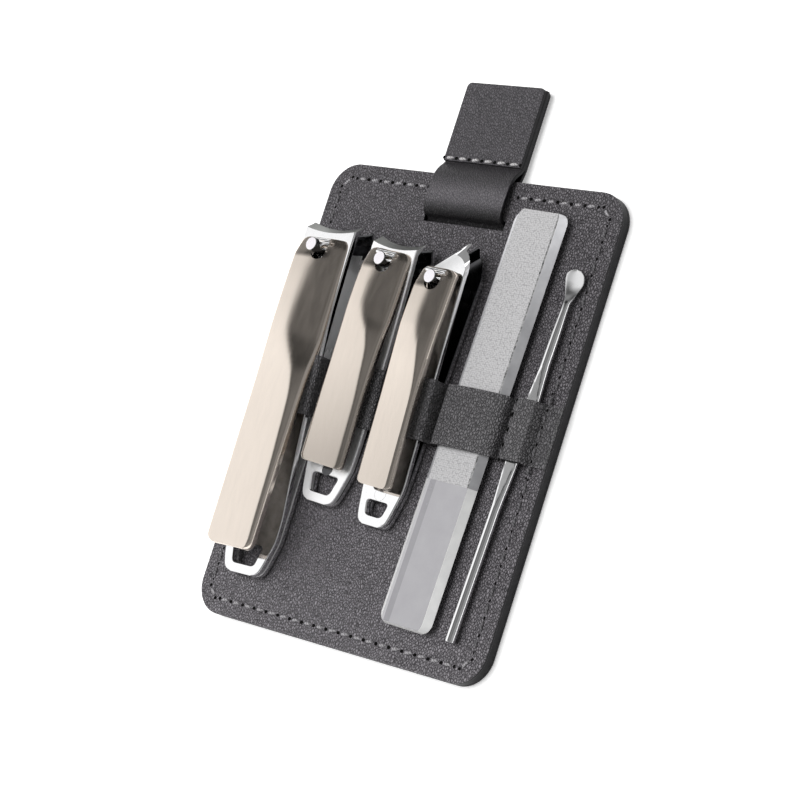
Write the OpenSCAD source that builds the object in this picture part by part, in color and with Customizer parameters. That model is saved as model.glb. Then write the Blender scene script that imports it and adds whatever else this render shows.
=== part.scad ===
// Nail care set. A stitched leather card carries three nail clippers, a glass nail file
// and an ear pick in the loops of one leather band, and has a pull tab at its top.
// Millimetres. X runs across the card, Y up towards the tab and Z out of the front.
// The origin is the centre of the card's back face.

/* [Card] */
// Width of the card
card_w = 82.7; // [82:0.1:110]
// Length of the card
card_l = 105; // [98:0.5:140]
// Radius of the card's corners
card_corner = 7; // [2:0.5:12]
// Thickness of each leather cover
leather_t = 0.9; // [0.6:0.1:1.4]
// Thickness of the board between the covers
board_t = 1.2; // [1:0.1:2.5]
// How far the board stops short of the covers' edge
board_inset = 0.2; // [0.1:0.1:1]

/* [Band] */
// Width of the band, along the tools
band_w = 13; // [8:0.5:16]
// Thickness of the band
band_t = 0.65; // [0.5:0.05:0.8]
// Height of the band's centre line on the card
band_y = 0; // [-4:0.5:4]
// Gap between a tool and its loop
loop_gap = 0.2; // [0.2:0.05:0.4]
// Bevel at the upper corners of a loop
loop_bevel = 0.25; // [0.2:0.05:0.3]
// How far a loop's foot stands out on the card
loop_foot = 0.3; // [0.2:0.1:0.4]
// How far the foot of the ear pick's loop stands out
pick_foot = 1; // [0.5:0.1:1.1]

/* [Tool spacing at the band] */
// From the card's left edge to the large clipper
edge_gap = 5.3; // [4:0.1:8]
// From the large clipper to the medium one
large_medium_gap = 2.5; // [2.4:0.1:6]
// From the medium clipper to the small one
medium_small_gap = 4.1; // [3:0.1:6]
// From the small clipper to the file
small_file_gap = 3.8; // [3:0.1:6]
// From the file to the ear pick
file_pick_gap = 4.5; // [3.5:0.1:6]

/* [Pull strap and tab] */
// Width of the strap
strap_w = 22.4; // [16:0.2:26]
// Thickness of the strap
strap_t = 0.9; // [0.7:0.1:1]
// From the card's top edge down to the slot that the strap leaves by
slot_drop = 10.8; // [8:0.2:14]
// Height of the strap's arch above the card's front
arch_rise = 2; // [1.6:0.1:4]
// Length of the strap's end inside the card
strap_anchor = 14; // [6:0.5:18]
// Clearance round the strap in its slot
slot_gap = 0.15; // [0.1:0.05:0.4]
// From the card's top edge up to the line where the strap bends at the tab
flex_rise = 2.3; // [2:0.1:5]
// Height of the bend line above the card's back face
flex_z = 1.95; // [1.5:0.05:2.4]
// Gap between the bend line and the tab's foot
tab_foot_gap = 0.7; // [0.6:0.05:1.2]
// Width of the tab
tab_w = 21.8; // [14:0.2:26]
// Length of the tab
tab_l = 18.2; // [12:0.2:30]
// Radius of the tab's outer corners
tab_corner = 3; // [1:0.25:6]

/* [Stitching] */
// Distance from one stitch to the next
stitch_pitch = 3.7; // [3:0.1:5]
// Length of a stitch
stitch_l = 2.6; // [1.5:0.1:2.8]
// Width of a stitch
stitch_w = 0.5; // [0.3:0.05:0.8]
// Height of a stitch above the leather
stitch_h = 0.15; // [0.1:0.05:0.15]
// From the card's edge to the line of stitches
stitch_inset = 3.4; // [2:0.1:4]
// From the tab's foot to its line of stitches
tab_stitch_inset = 0.8; // [0.6:0.1:3]

/* [Large clipper] */
// Length over the jaws
large_l = 79.1; // [70:0.5:90]
// Width of the arms
large_w = 14.9; // [12:0.1:16]
// Height over the open jaws
large_h = 8; // [7.2:0.1:10]
// Thickness of each arm
large_t = 1.4; // [1:0.1:1.6]
// Gap between the open cutting edges
large_gap = 3.2; // [2:0.1:3.4]
// Length of the tail where the arms lie together
large_flat = 13; // [11:0.5:16]
// Share of the upper arm's rise that comes near the tail, where 1 is a straight arm
large_rise = 2; // [1.6:0.1:2]
// From the pin to the cutting edges
large_pin_back = 6.7; // [6:0.1:9]
// Height of the pin above the front of the upper arm
large_pin_rise = 4.5; // [4.2:0.1:6]
// Height of the lever's pivot above the front of the upper arm
large_pivot_rise = 2; // [1.9:0.1:2.4]
// Width of the lever
large_lever_w = 14.3; // [9:0.1:15]
// From the tail's end to the lever's end
large_lever_back = 4.6; // [3:0.1:12]
// Slope of the lever's front part down towards its tail, in degrees
large_slope = 1.5; // [1.1:0.1:1.6]
// Slope of the lever's long rear part, in degrees
large_end_slope = 0.5; // [0.3:0.1:0.6]
// Place of the tail's end along the card, from the band's centre line
large_tail = -42.8; // [-46:0.2:-38]
// Turn on the card, in degrees
large_turn = 0.8; // [0:0.1:1]
// Width of the lanyard hole at its wide end
large_hole_w = 8.8; // [5:0.1:9]

/* [Medium clipper] */
// Length over the jaws
medium_l = 59; // [54:0.5:64]
// Width of the arms
medium_w = 13.1; // [10:0.1:13.2]
// Height over the open jaws
medium_h = 7; // [6.6:0.1:8]
// Thickness of each arm
medium_t = 1.25; // [1:0.05:1.4]
// Gap between the open cutting edges
medium_gap = 2.7; // [2:0.1:3]
// Length of the tail where the arms lie together
medium_flat = 10.5; // [10:0.5:13]
// Share of the upper arm's rise that comes near the tail, where 1 is a straight arm
medium_rise = 0.55; // [0.55:0.05:0.8]
// From the pin to the cutting edges
medium_pin_back = 5.8; // [5.5:0.1:8]
// Height of the pin above the front of the upper arm
medium_pin_rise = 3.3; // [3.1:0.1:5]
// Height of the lever's pivot above the front of the upper arm
medium_pivot_rise = 1.9; // [1.8:0.1:2.3]
// Width of the lever
medium_lever_w = 12.2; // [8:0.1:12.4]
// From the tail's end to the lever's end
medium_lever_back = 7.7; // [7:0.1:12]
// Slope of the lever's front part down towards its tail, in degrees
medium_slope = 2.9; // [2:0.1:3]
// Slope of the lever's long rear part, in degrees
medium_end_slope = 4.7; // [4:0.1:4.8]
// Place of the tail's end along the card, from the band's centre line
medium_tail = -23.9; // [-26:0.1:-20]
// Turn on the card, in degrees
medium_turn = -3.3; // [-3.5:0.1:-2.5]
// Width of the lanyard hole at its wide end
medium_hole_w = 8; // [5:0.1:8]

/* [Small clipper] */
// Length over the pointed jaw
small_l = 62.3; // [56:0.5:66]
// Width of the arms
small_w = 11.4; // [9:0.1:12]
// Height over the open jaws
small_h = 7.3; // [6.8:0.1:8]
// Thickness of each arm
small_t = 1.2; // [1:0.05:1.4]
// Gap between the open cutting edges
small_gap = 2.7; // [2:0.1:3]
// Length of the tail where the arms lie together
small_flat = 10; // [9.5:0.5:13]
// Share of the upper arm's rise that comes near the tail, where 1 is a straight arm
small_rise = 1; // [0.5:0.1:1.2]
// From the pin to the jaw's point
small_pin_back = 9.4; // [9:0.1:12]
// Height of the pin above the front of the upper arm
small_pin_rise = 3.4; // [3.1:0.1:5]
// Height of the lever's pivot above the front of the upper arm
small_pivot_rise = 2.1; // [2:0.1:2.4]
// Width of the lever
small_lever_w = 9.6; // [7:0.1:10]
// From the tail's end to the lever's end
small_lever_back = 7.7; // [7:0.1:12]
// Slope of the lever's front part down towards its tail, in degrees
small_slope = 1.2; // [0.6:0.1:1.5]
// Slope of the lever's long rear part, in degrees
small_end_slope = 6; // [5:0.1:6.2]
// Place of the tail's end along the card, from the band's centre line
small_tail = -26; // [-28:0.1:-22]
// Turn on the card, in degrees
small_turn = -2.3; // [-2.6:0.1:-1.8]
// Width of the lanyard hole at its wide end
small_hole_w = 6.1; // [4:0.1:6.4]
// Slant of the pointed jaw's cutting edges, in degrees
jaw_slant = 37; // [30:1:40]
// From the arm's straight side in to the jaw's point
jaw_point_inset = 1.6; // [0.8:0.1:2.4]
// Length over which the side runs in to the jaw's point
jaw_point_taper = 6.4; // [5:0.1:7]

/* [Clipper details] */
// Radius of the pins
pin_r = 1.5; // [1.2:0.05:1.6]
// Radius of the pin's head under the lower arm
pin_head_r = 2.4; // [2:0.1:2.8]
// Thickness of the pin's head
pin_head_t = 0.5; // [0.3:0.05:0.6]
// Radius of the bar that the lever hangs on
bar_r = 0.6; // [0.5:0.05:0.65]
// Radius of the tail rivets
rivet_r = 1.5; // [1:0.1:1.8]
// Thickness of the lever's sheet
lever_t = 0.9; // [0.7:0.05:1.1]
// Height of the middle of the lever's top above its pivot
lever_crown = 0.3; // [0.1:0.05:0.5]
// Rise of the lever's arched top over its width
lever_arch = 1.3; // [0.8:0.1:1.6]
// How far the lever's flanges hang below its pivot
flange_drop = 1.5; // [1.1:0.1:1.6]
// Length of the lever's opening behind its bar
lever_slot = 4.6; // [4.5:0.1:6]
// From the lever's pivot back to the slight bend in it
lever_bend = 12.5; // [11:0.5:16]
// Hollow of the large and medium cutting edges
jaw_hollow = 1.2; // [0.4:0.1:1.6]

/* [Glass file] */
// Length of the file
file_l = 91; // [80:0.5:95]
// Width of the file
file_w = 14.2; // [10:0.1:15]
// Thickness of the file
file_t = 2.6; // [1.8:0.1:3]
// Width of the bevel along its edges
file_bevel = 1.6; // [0.8:0.1:2]
// Radius of the corners at its top
file_corner = 3; // [1:0.25:5]
// Chamfer of the corners at its foot
file_chamfer = 2.4; // [1:0.1:4]
// Place of its foot along the card, from the band's centre line
file_foot = -44.7; // [-48:0.1:-36]
// Turn on the card, in degrees
file_turn = -1.45; // [-1.6:0.05:-1]

/* [Ear pick] */
// Length of the ear pick
pick_l = 79.9; // [70:0.5:90]
// Radius of its rod
pick_r = 1.1; // [0.8:0.05:1.3]
// Width of its flat grip
grip_w = 3.1; // [2.4:0.1:3.6]
// Thickness of its flat grip
grip_t = 1.2; // [0.8:0.1:1.6]
// Length of its flat grip
grip_l = 30; // [20:0.5:34]
// From its foot to the flat grip
grip_start = 28.3; // [24:0.1:32]
// Width of the spoon
spoon_w = 5; // [3.5:0.1:5.5]
// Thickness of the spoon's wall
spoon_t = 0.5; // [0.35:0.05:0.7]
// Place of its foot along the card, from the band's centre line
pick_foot_y = -44.9; // [-48:0.1:-36]
// Turn on the card, in degrees
pick_turn = -2.1; // [-2.2:0.1:-1.2]

/* [Fits] */
// Gap between a tool and the card
rest_gap = 0.2; // [0.2:0.05:0.3]
// Running gap round a pin in the lower arm
pin_gap = 0.05; // [0.03:0.01:0.1]
// Wider gap round a pin in the upper arm, which rocks
rock_gap = 0.4; // [0.35:0.05:0.6]
// Gap round a rivet in the lower arm
rivet_gap = 0.2; // [0.15:0.05:0.3]
// Gap round the lever's bar in the pin's notch
bar_gap = 0.15; // [0.1:0.05:0.2]
// Gap between the large lever and the band's top under it
lever_band_gap = 0.1; // [0.05:0.05:0.2]

/* [Hidden] */
$fn = 64;

card_t = 2 * leather_t + board_t;
card_top = card_l / 2;
tool_z = card_t + rest_gap;

// One clipper's sizes, read by the functions below
LARGE = [large_l, large_w, large_h, large_t, large_gap, large_flat, large_pin_back,
    large_pin_rise, large_pivot_rise, large_lever_w, large_lever_back, large_slope,
    large_tail, large_turn, large_hole_w, 0,
    large_rise, large_end_slope];
MEDIUM = [medium_l, medium_w, medium_h, medium_t, medium_gap, medium_flat, medium_pin_back,
    medium_pin_rise, medium_pivot_rise, medium_lever_w, medium_lever_back, medium_slope,
    medium_tail, medium_turn, medium_hole_w, 0,
    medium_rise, medium_end_slope];
SMALL = [small_l, small_w, small_h, small_t, small_gap, small_flat, small_pin_back,
    small_pin_rise, small_pivot_rise, small_lever_w, small_lever_back, small_slope,
    small_tail, small_turn, small_hole_w, jaw_slant,
    small_rise, small_end_slope];
function len_of(c) = c[0];
function wide(c) = c[1];
function high(c) = c[2];
function sheet(c) = c[3];
function mouth(c) = c[4];
function flat(c) = c[5];
function pin_s(c) = c[0] - c[6];
function pin_top(c) = c[2] + c[7];
function pivot_z(c) = c[2] + c[8];
function lever_w(c) = c[9];
function lever_back(c) = c[10];
function slope(c) = c[11];
function tail_y(c) = c[12];
function turn(c) = c[13];
function hole_w(c) = c[14];
function slant(c) = c[15];
function rise(c) = c[16];
function end_slope(c) = c[17];

// Centres of the tools where they cross the band's centre line
large_x = -card_w / 2 + edge_gap + large_w / 2;
medium_x = large_x + (large_w + medium_w) / 2 + large_medium_gap;
small_x = medium_x + (medium_w + small_w) / 2 + medium_small_gap;
file_x = small_x + (small_w + file_w) / 2 + small_file_gap;
pick_x = file_x + (file_w + grip_w) / 2 + file_pick_gap;

// The upper arm rises from the tail along a parabola that its share of early rise bends
jaw_land = 3;
arm_steps = 12;
function share(c, s) = max(0, min(1, (s - flat(c)) / (len_of(c) - jaw_land - flat(c))));
function lift(c, s) = let (f = share(c, s))
    (high(c) - 2 * sheet(c)) * (rise(c) * f + (1 - rise(c)) * f * f);
function top_z(c, s) = 2 * sheet(c) + lift(c, s);
function arm_points(c, z0) = [for (i = [0:arm_steps])
    let (s = flat(c) + (len_of(c) - jaw_land - flat(c)) * i / arm_steps) [s, z0 + lift(c, s)]];

// Jaws: the bevel in front, the land of the cutting edge and its height
jaw_bevel = 1.8;
jaw_edge = 0.7;
jaw_root = 2.6;
jaw_lap = 0.5;
function jaw_h(c) = (high(c) - mouth(c)) / 2;
far = 40;

// Lanyard hole: where it starts and ends, and its narrow end's share of the width
hole_start = 2.1;
hole_share = 0.72;
hole_length_share = 0.52;
function hole_end(c) = hole_start + hole_length_share * hole_w(c);

// Tail: its end's share of the arm's width, and the lengths of its two tapers
tail_share = 0.72;
tail_mid_share = 0.89;
tail_end_share = 0.42;
tail_taper = 1.3;
tail_taper_end = 5.2;
tail_full = 9;

// Pivot of a lever: in front of the pin's axis
pivot_reach = pin_r + bar_gap;
lever_nose = 0.45;
bar_lap = 1;

module place(c, x) {
    translate([x, band_y, tool_z]) rotate([0, 0, turn(c)]) translate([0, tail_y(c), 0]) children();
}

// Draws a side outline, given as places along Y and heights, through the full width
module across(width) {
    rotate([90, 0, 90]) linear_extrude(width, center = true) children();
}

// Draws a front outline, given across X and up Z, along Y
module along(length) {
    rotate([90, 0, 0]) linear_extrude(length, center = true) children();
}

module rounded_plate(w, l, r) {
    square([w - 2 * r, l], center = true);
    square([w, l - 2 * r], center = true);
    for (x = [-1, 1], y = [-1, 1])
        translate([x * (w / 2 - r), y * (l / 2 - r)]) circle(r);
}

// Card

strap_window_w = strap_w + 2 * slot_gap;
slot_y = card_top - slot_drop;
slot_length = 2 * strap_t;

module card_back_leather() {
    color("#2b2a2d") linear_extrude(leather_t) rounded_plate(card_w, card_l, card_corner);
}

module card_stiffener() {
    color("#1d1c1e") translate([0, 0, leather_t]) linear_extrude(board_t) difference() {
        rounded_plate(card_w - 2 * board_inset, card_l - 2 * board_inset, card_corner - board_inset);
        translate([-strap_window_w / 2, slot_y - strap_anchor - slot_gap])
            square([strap_window_w, strap_anchor + slot_length + 2 * slot_gap]);
    }
}

module card_front_leather() {
    color("#4b484c") translate([0, 0, leather_t + board_t]) linear_extrude(leather_t) difference() {
        rounded_plate(card_w, card_l, card_corner);
        translate([-strap_window_w / 2, slot_y - slot_gap])
            square([strap_window_w, slot_length + 2 * slot_gap]);
    }
}

// Places of the stitches round the card: straight runs and quarter turns at the corners
run_x = card_w / 2 - stitch_inset;
run_y = card_top - stitch_inset;
turn_r = max(card_corner - stitch_inset, stitch_w);
corner_cut = turn_r * (1 - cos(45));
across_count = round(2 * (run_x - turn_r) / stitch_pitch);
up_count = round(2 * (run_y - turn_r) / stitch_pitch);

module stitch(z) {
    translate([-stitch_l / 2, -stitch_w / 2, z]) cube([stitch_l, stitch_w, stitch_h]);
}

function under_band(y) = abs(y - band_y) < (band_w + stitch_l) / 2;

module perimeter_stitching() {
    step_x = 2 * (run_x - turn_r) / across_count;
    step_y = 2 * (run_y - turn_r) / up_count;
    color("#6b686c") {
        for (side = [-1, 1], i = [0:across_count - 1])
            translate([-run_x + turn_r + (i + 0.5) * step_x, side * run_y, 0]) stitch(card_t);
        for (side = [-1, 1], i = [0:up_count - 1])
            let (y = -run_y + turn_r + (i + 0.5) * step_y)
                translate([side * run_x, y, 0]) rotate([0, 0, 90])
                    stitch(card_t + (under_band(y) ? band_t : 0));
        for (x = [-1, 1], y = [-1, 1])
            translate([x * (run_x - corner_cut), y * (run_y - corner_cut), 0])
                rotate([0, 0, -45 * x * y]) stitch(card_t);
    }
}

// Band

// Half the width that a turned tool takes up over the band
function span(w, angle) = w / 2 * cos(angle) + band_w / 2 * abs(sin(angle));

// Front outline of a loop, grown outwards by t: half its width inside, height and foot
module loop_outline(half, top, foot, t) {
    bevel = loop_bevel + t * (2 - sqrt(2));
    polygon([[-half - foot - t, 0], [-half - t, top + t - bevel], [-half - t + bevel, top + t],
        [half + t - bevel, top + t], [half + t, top + t - bevel], [half + foot + t, 0]]);
}

// A loop's space, grown by t, with a top that slopes from its lower to its upper side
module loop_space(x, half, low, high, foot, t, extra) {
    intersection() {
        translate([x, band_y, card_t]) along(band_w + 2 * extra) loop_outline(half, high, foot, t);
        translate([x, band_y, card_t]) across(4 * half + 4 * foot + far)
            polygon([[-band_w / 2 - extra, -1], [band_w / 2 + extra, -1],
                [band_w / 2 + extra, high + t + extra * (high - low) / band_w],
                [-band_w / 2 - extra, low + t - extra * (high - low) / band_w]]);
    }
}

function loop_height(c, y) = rest_gap + top_z(c, y - tail_y(c)) + loop_gap;

module clipper_loop(c, x, t, extra) {
    loop_space(x, span(wide(c), turn(c)) + loop_gap, loop_height(c, -band_w / 2),
        loop_height(c, band_w / 2), loop_foot, t, extra);
}

module all_loops(t, extra) {
    clipper_loop(LARGE, large_x, t, extra);
    clipper_loop(MEDIUM, medium_x, t, extra);
    clipper_loop(SMALL, small_x, t, extra);
    file_top = rest_gap + file_t + loop_gap;
    loop_space(file_x, span(file_w, file_turn) + loop_gap, file_top, file_top, loop_foot, t, extra);
    pick_top = rest_gap + pick_r + max(pick_r, grip_t / 2) + loop_gap;
    loop_space(pick_x, span(grip_w, pick_turn) + loop_gap, pick_top, pick_top, pick_foot, t, extra);
}

module holder_band() {
    color("#3f3c40") difference() {
        union() {
            translate([-card_w / 2, band_y - band_w / 2, card_t]) cube([card_w, band_w, band_t]);
            all_loops(band_t, 0);
        }
        translate([0, 0, -0.01]) all_loops(0, 1);
    }
}

// Middles of the places where the band lies on the card between two tools
seam_xs = [
    medium_x + medium_w / 2 + medium_small_gap / 2,
    small_x + small_w / 2 + small_file_gap / 2,
    file_x + file_w / 2 + file_pick_gap / 2 - pick_foot / 2,
];

module band_stitching() {
    count = max(2, round(band_w / stitch_pitch));
    step = band_w / count;
    color("#6b686c") for (x = seam_xs, i = [0:count - 1])
        translate([x, band_y - band_w / 2 + (i + 0.5) * step, 0]) rotate([0, 0, 90])
            stitch(card_t + band_t);
}

// Strap and tab

flex_y = card_top + flex_rise;

// The strap's centre line from its end in the card over the card's edge to the bend line
strap_mid = leather_t + board_t / 2;
strap_crest = card_t + arch_rise - strap_t / 2;
strap_line = [
    [slot_y - strap_anchor, strap_mid],
    [slot_y - 0.9, strap_mid],
    [slot_y + 0.2, strap_mid + 0.25],
    [slot_y + 0.8, strap_mid + 0.9],
    [slot_y + 1.3, card_t + 0.2],
    [slot_y + 2.1, strap_crest - 0.75],
    [slot_y + 0.3 * slot_drop, strap_crest - 0.35],
    [slot_y + 0.44 * slot_drop, strap_crest - 0.08],
    [slot_y + 0.59 * slot_drop, strap_crest],
    [card_top - 2.4, strap_crest - 0.1],
    [card_top - 0.6, strap_crest - 0.35],
    [card_top + 0.5, strap_crest - 0.95],
    [flex_y, flex_z],
];

// Unit normal of a line at point i, and the line moved sideways by d
function unit(v) = v / norm(v);
function normal_at(line, i) = let (
    a = line[max(i - 1, 0)], b = line[min(i + 1, len(line) - 1)], u = unit(b - a)) [-u[1], u[0]];
function beside(line, d) = [for (i = [0:len(line) - 1]) line[i] + d * normal_at(line, i)];
function backwards(list) = [for (i = [len(list) - 1:-1:0]) list[i]];

// Half-round end of a line drawn t thick
function round_end(line, t) = let (i = len(line) - 1, n = normal_at(line, i))
    [for (a = [15:15:165]) line[i] + t / 2 * [cos(a) * n[0] + sin(a) * n[1],
        cos(a) * n[1] - sin(a) * n[0]]];

module pull_strap() {
    color("#39363a") across(strap_w)
        polygon(concat(beside(strap_line, strap_t / 2), round_end(strap_line, strap_t),
            backwards(beside(strap_line, -strap_t / 2))));
}

tab_foot = flex_y + tab_foot_gap;

module tab_outline() {
    translate([-tab_w / 2, 0]) square([tab_w, tab_l - tab_corner]);
    translate([-tab_w / 2 + tab_corner, 0]) square([tab_w - 2 * tab_corner, tab_l]);
    for (x = [-1, 1]) translate([x * (tab_w / 2 - tab_corner), tab_l - tab_corner]) circle(tab_corner);
}

module tab_layer(z, t) {
    translate([0, tab_foot, z]) linear_extrude(t) tab_outline();
}

module tab_core_layer() {
    color("#39363a") tab_layer(flex_z - strap_t / 2, strap_t);
}

module tab_front_layer() {
    color("#4b484c") tab_layer(flex_z + strap_t / 2, leather_t);
}

module tab_back_layer() {
    color("#4b484c") tab_layer(flex_z - strap_t / 2 - leather_t, leather_t);
}

module tab_stitching() {
    count = round(tab_w / stitch_pitch);
    step = tab_w / count;
    color("#b5b2b4") for (i = [0:count - 1])
        translate([(i + 0.5 - count / 2) * step, tab_foot + tab_stitch_inset, 0])
            stitch(flex_z + strap_t / 2 + leather_t);
}

// Clippers, each drawn with its tail's end at the origin and its jaws towards +Y

// Plan of an arm: a tapered tail, straight sides and a slanted or straight front
function point_inset(c) = slant(c) > 0 ? jaw_point_inset : 0;

// The small clipper's point is trimmed by a short slanted facet: its place across and along
facet_share = 0.35;
facet_reach = 0.58;

module arm_plan(c) {
    w = wide(c) / 2;
    front = len_of(c);
    inset = point_inset(c);
    fall = tan(slant(c)) * (2 * w - inset);
    side = inset > 0 ? [[w - facet_share * inset, front - facet_reach * jaw_point_taper],
        [w, front - jaw_point_taper]] : [];
    polygon(concat([[-tail_end_share * w, 0], [-tail_share * w, tail_taper],
        [-tail_mid_share * w, tail_taper_end], [-w, tail_full], [-w, front - fall],
        [w - inset, front]], side, [[w, tail_full], [tail_mid_share * w, tail_taper_end],
        [tail_share * w, tail_taper], [tail_end_share * w, 0]]));
}

module lanyard_hole(c) {
    w = hole_w(c) / 2;
    linear_extrude(4 * high(c), center = true)
        polygon([[-hole_share * w, hole_start], [hole_share * w, hole_start],
            [w, hole_end(c)], [-w, hole_end(c)]]);
}

// Hollows the cutting edges of a clipper with a straight jaw
module edge_hollow(c) {
    half = wide(c) / 2;
    r = (half * half + jaw_hollow * jaw_hollow) / (2 * jaw_hollow);
    if (slant(c) == 0) translate([0, len_of(c) + r - jaw_hollow, 0])
        cylinder(r = r, h = 4 * high(c), center = true, $fn = 128);
}

// Turns a jaw drawn with its edge at y = 0 along the slant, with the point at the right
module at_jaw(c) {
    translate([wide(c) / 2 - point_inset(c), len_of(c), 0]) rotate([0, 0, slant(c)]) children();
}

module jaw_cut(c) {
    at_jaw(c) translate([-2 * far, -jaw_root, -far]) cube([3 * far, far, 2 * far]);
}

module lower_arm_side(c) {
    reach = len_of(c);
    across(wide(c) + 1) square([reach, sheet(c)]);
}

module lower_jaw_side(c) {
    t = sheet(c);
    at_jaw(c) across(3 * wide(c))
        polygon([[-jaw_root - jaw_lap, 0], [-jaw_bevel, 0], [0, jaw_h(c)], [-jaw_edge, jaw_h(c)],
            [-jaw_root, t], [-jaw_root - jaw_lap, t]]);
}

module upper_arm_side(c) {
    t = sheet(c);
    tip = [[len_of(c), high(c)]];
    under = [[len_of(c), high(c) - t]];
    across(wide(c) + 1)
        polygon(concat([[0, 2 * t]], arm_points(c, 2 * t), tip, under,
            backwards(arm_points(c, t)), [[0, t]]));
}

module upper_jaw_side(c) {
    t = sheet(c);
    h = high(c);
    at_jaw(c) across(3 * wide(c))
        polygon([[-jaw_root - jaw_lap, h], [-jaw_bevel, h], [0, h - jaw_h(c)],
            [-jaw_edge, h - jaw_h(c)], [-jaw_root, h - t], [-jaw_root - jaw_lap, h - t]]);
}

rivet_s = 3;
rivet_lift = 0.1;
function rivet_y(c) = flat(c) - rivet_s;

module lower_arm(c) {
    difference() {
        intersection() {
            union() {
                difference() {
                    lower_arm_side(c);
                    jaw_cut(c);
                }
                lower_jaw_side(c);
            }
            linear_extrude(4 * high(c), center = true) arm_plan(c);
        }
        lanyard_hole(c);
        edge_hollow(c);
        translate([0, rivet_y(c), -1]) cylinder(r = rivet_r + rivet_gap, h = far);
        translate([0, pin_s(c), -1]) cylinder(r = pin_r + pin_gap, h = far);
        translate([0, pin_s(c), -1]) cylinder(r = pin_head_r + pin_gap, h = 1 + pin_head_t + pin_gap);
    }
}

module upper_arm(c) {
    difference() {
        intersection() {
            union() {
                difference() {
                    upper_arm_side(c);
                    jaw_cut(c);
                }
                upper_jaw_side(c);
            }
            linear_extrude(4 * high(c), center = true) arm_plan(c);
        }
        lanyard_hole(c);
        edge_hollow(c);
        translate([0, rivet_y(c), -1]) cylinder(r = rivet_r, h = far);
        translate([0, pin_s(c), -1]) cylinder(r = pin_r + rock_gap, h = far);
    }
}

module tail_rivet(c) {
    translate([0, rivet_y(c), rivet_lift]) cylinder(r = rivet_r, h = 2 * sheet(c) - rivet_lift);
}

module clipper_pin(c) {
    translate([0, pin_s(c), 0]) difference() {
        union() {
            cylinder(r = pin_r, h = pin_top(c));
            cylinder(r = pin_head_r, h = pin_head_t);
        }
        translate([-far / 2, pivot_reach, pivot_z(c)]) rotate([0, 90, 0])
            cylinder(r = bar_r + bar_gap, h = far);
    }
}

// Flat strips that a lever's arch is made of
arch_steps = 8;

// Section of a lever round its pivot's height: an arched sheet with two flanges
module lever_section(w, low, t) {
    r = (w * w / 4 + lever_arch * lever_arch) / (2 * lever_arch);
    crown = lever_crown + lever_t / 2 - t;
    half = w / 2 - t;
    polygon(concat([for (i = [0:arch_steps])
        let (x = -half + 2 * half * i / arch_steps) [x, crown - r + sqrt(r * r - x * x)]],
        [[half, low], [-half, low]]));
}

// A straight stretch of a lever, hollow underneath
module lever_stretch(c, front, back) {
    translate([0, (front + back) / 2, 0]) difference() {
        along(front - back) lever_section(lever_w(c), -flange_drop, 0);
        along(front - back + 2) lever_section(lever_w(c), -flange_drop - 1, lever_t);
    }
}

// A lever with its pivot at the origin and its end towards -Y, bent a little behind the pivot
module lever_body(c) {
    w = lever_w(c);
    back = pin_s(c) + pivot_reach - lever_back(c);
    bend = end_slope(c) - slope(c);
    opening = 2 * (pin_r + rock_gap);
    difference() {
        union() {
            intersection() {
                lever_stretch(c, lever_nose, -lever_bend - flange_drop);
                translate([0, -lever_bend, 0]) rotate([bend / 2, 0, 0])
                    translate([-far, 0, -far]) cube(2 * far);
            }
            intersection() {
                translate([0, -lever_bend, 0]) rotate([bend, 0, 0])
                    lever_stretch(c, flange_drop, lever_bend - back);
                translate([0, -lever_bend, 0]) rotate([bend / 2, 0, 0])
                    translate([-far, -2 * far, -far]) cube(2 * far);
            }
        }
        translate([-w / 2 - 1, -bar_r, -far]) cube([w + 2, far, far]);
        translate([-opening / 2, -lever_slot, -far]) cube([opening, lever_slot, 2 * far]);
    }
    rotate([0, 90, 0]) cylinder(r = bar_r, h = opening + 2 * bar_lap, center = true);
}

module lever(c) {
    translate([0, pin_s(c) + pivot_reach, pivot_z(c)]) rotate([slope(c), 0, 0]) lever_body(c);
}

module large_lower_arm() { color("#c9cacc") place(LARGE, large_x) lower_arm(LARGE); }
module large_upper_arm() { color("#c9cacc") place(LARGE, large_x) upper_arm(LARGE); }
module large_tail_rivet() { color("#b9babc") place(LARGE, large_x) tail_rivet(LARGE); }
module large_pin() { color("#dcdcde") place(LARGE, large_x) clipper_pin(LARGE); }

// The large lever lies over the band, so its flanges end above the band's top
module large_lever() {
    band_top = card_t + loop_height(LARGE, band_w / 2) + band_t;
    color("#d8c9ba") difference() {
        place(LARGE, large_x) lever(LARGE);
        translate([large_x - far, -card_top, 0])
            cube([2 * far, card_top + band_y + band_w / 2, band_top + lever_band_gap]);
    }
}

module medium_lower_arm() { color("#c9cacc") place(MEDIUM, medium_x) lower_arm(MEDIUM); }
module medium_upper_arm() { color("#c9cacc") place(MEDIUM, medium_x) upper_arm(MEDIUM); }
module medium_tail_rivet() { color("#b9babc") place(MEDIUM, medium_x) tail_rivet(MEDIUM); }
module medium_pin() { color("#dcdcde") place(MEDIUM, medium_x) clipper_pin(MEDIUM); }
module medium_lever() { color("#d8c9ba") place(MEDIUM, medium_x) lever(MEDIUM); }

module small_lower_arm() { color("#c9cacc") place(SMALL, small_x) lower_arm(SMALL); }
module small_upper_arm() { color("#c9cacc") place(SMALL, small_x) upper_arm(SMALL); }
module small_tail_rivet() { color("#b9babc") place(SMALL, small_x) tail_rivet(SMALL); }
module small_pin() { color("#dcdcde") place(SMALL, small_x) clipper_pin(SMALL); }
module small_lever() { color("#d8c9ba") place(SMALL, small_x) lever(SMALL); }

// File and ear pick

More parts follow.
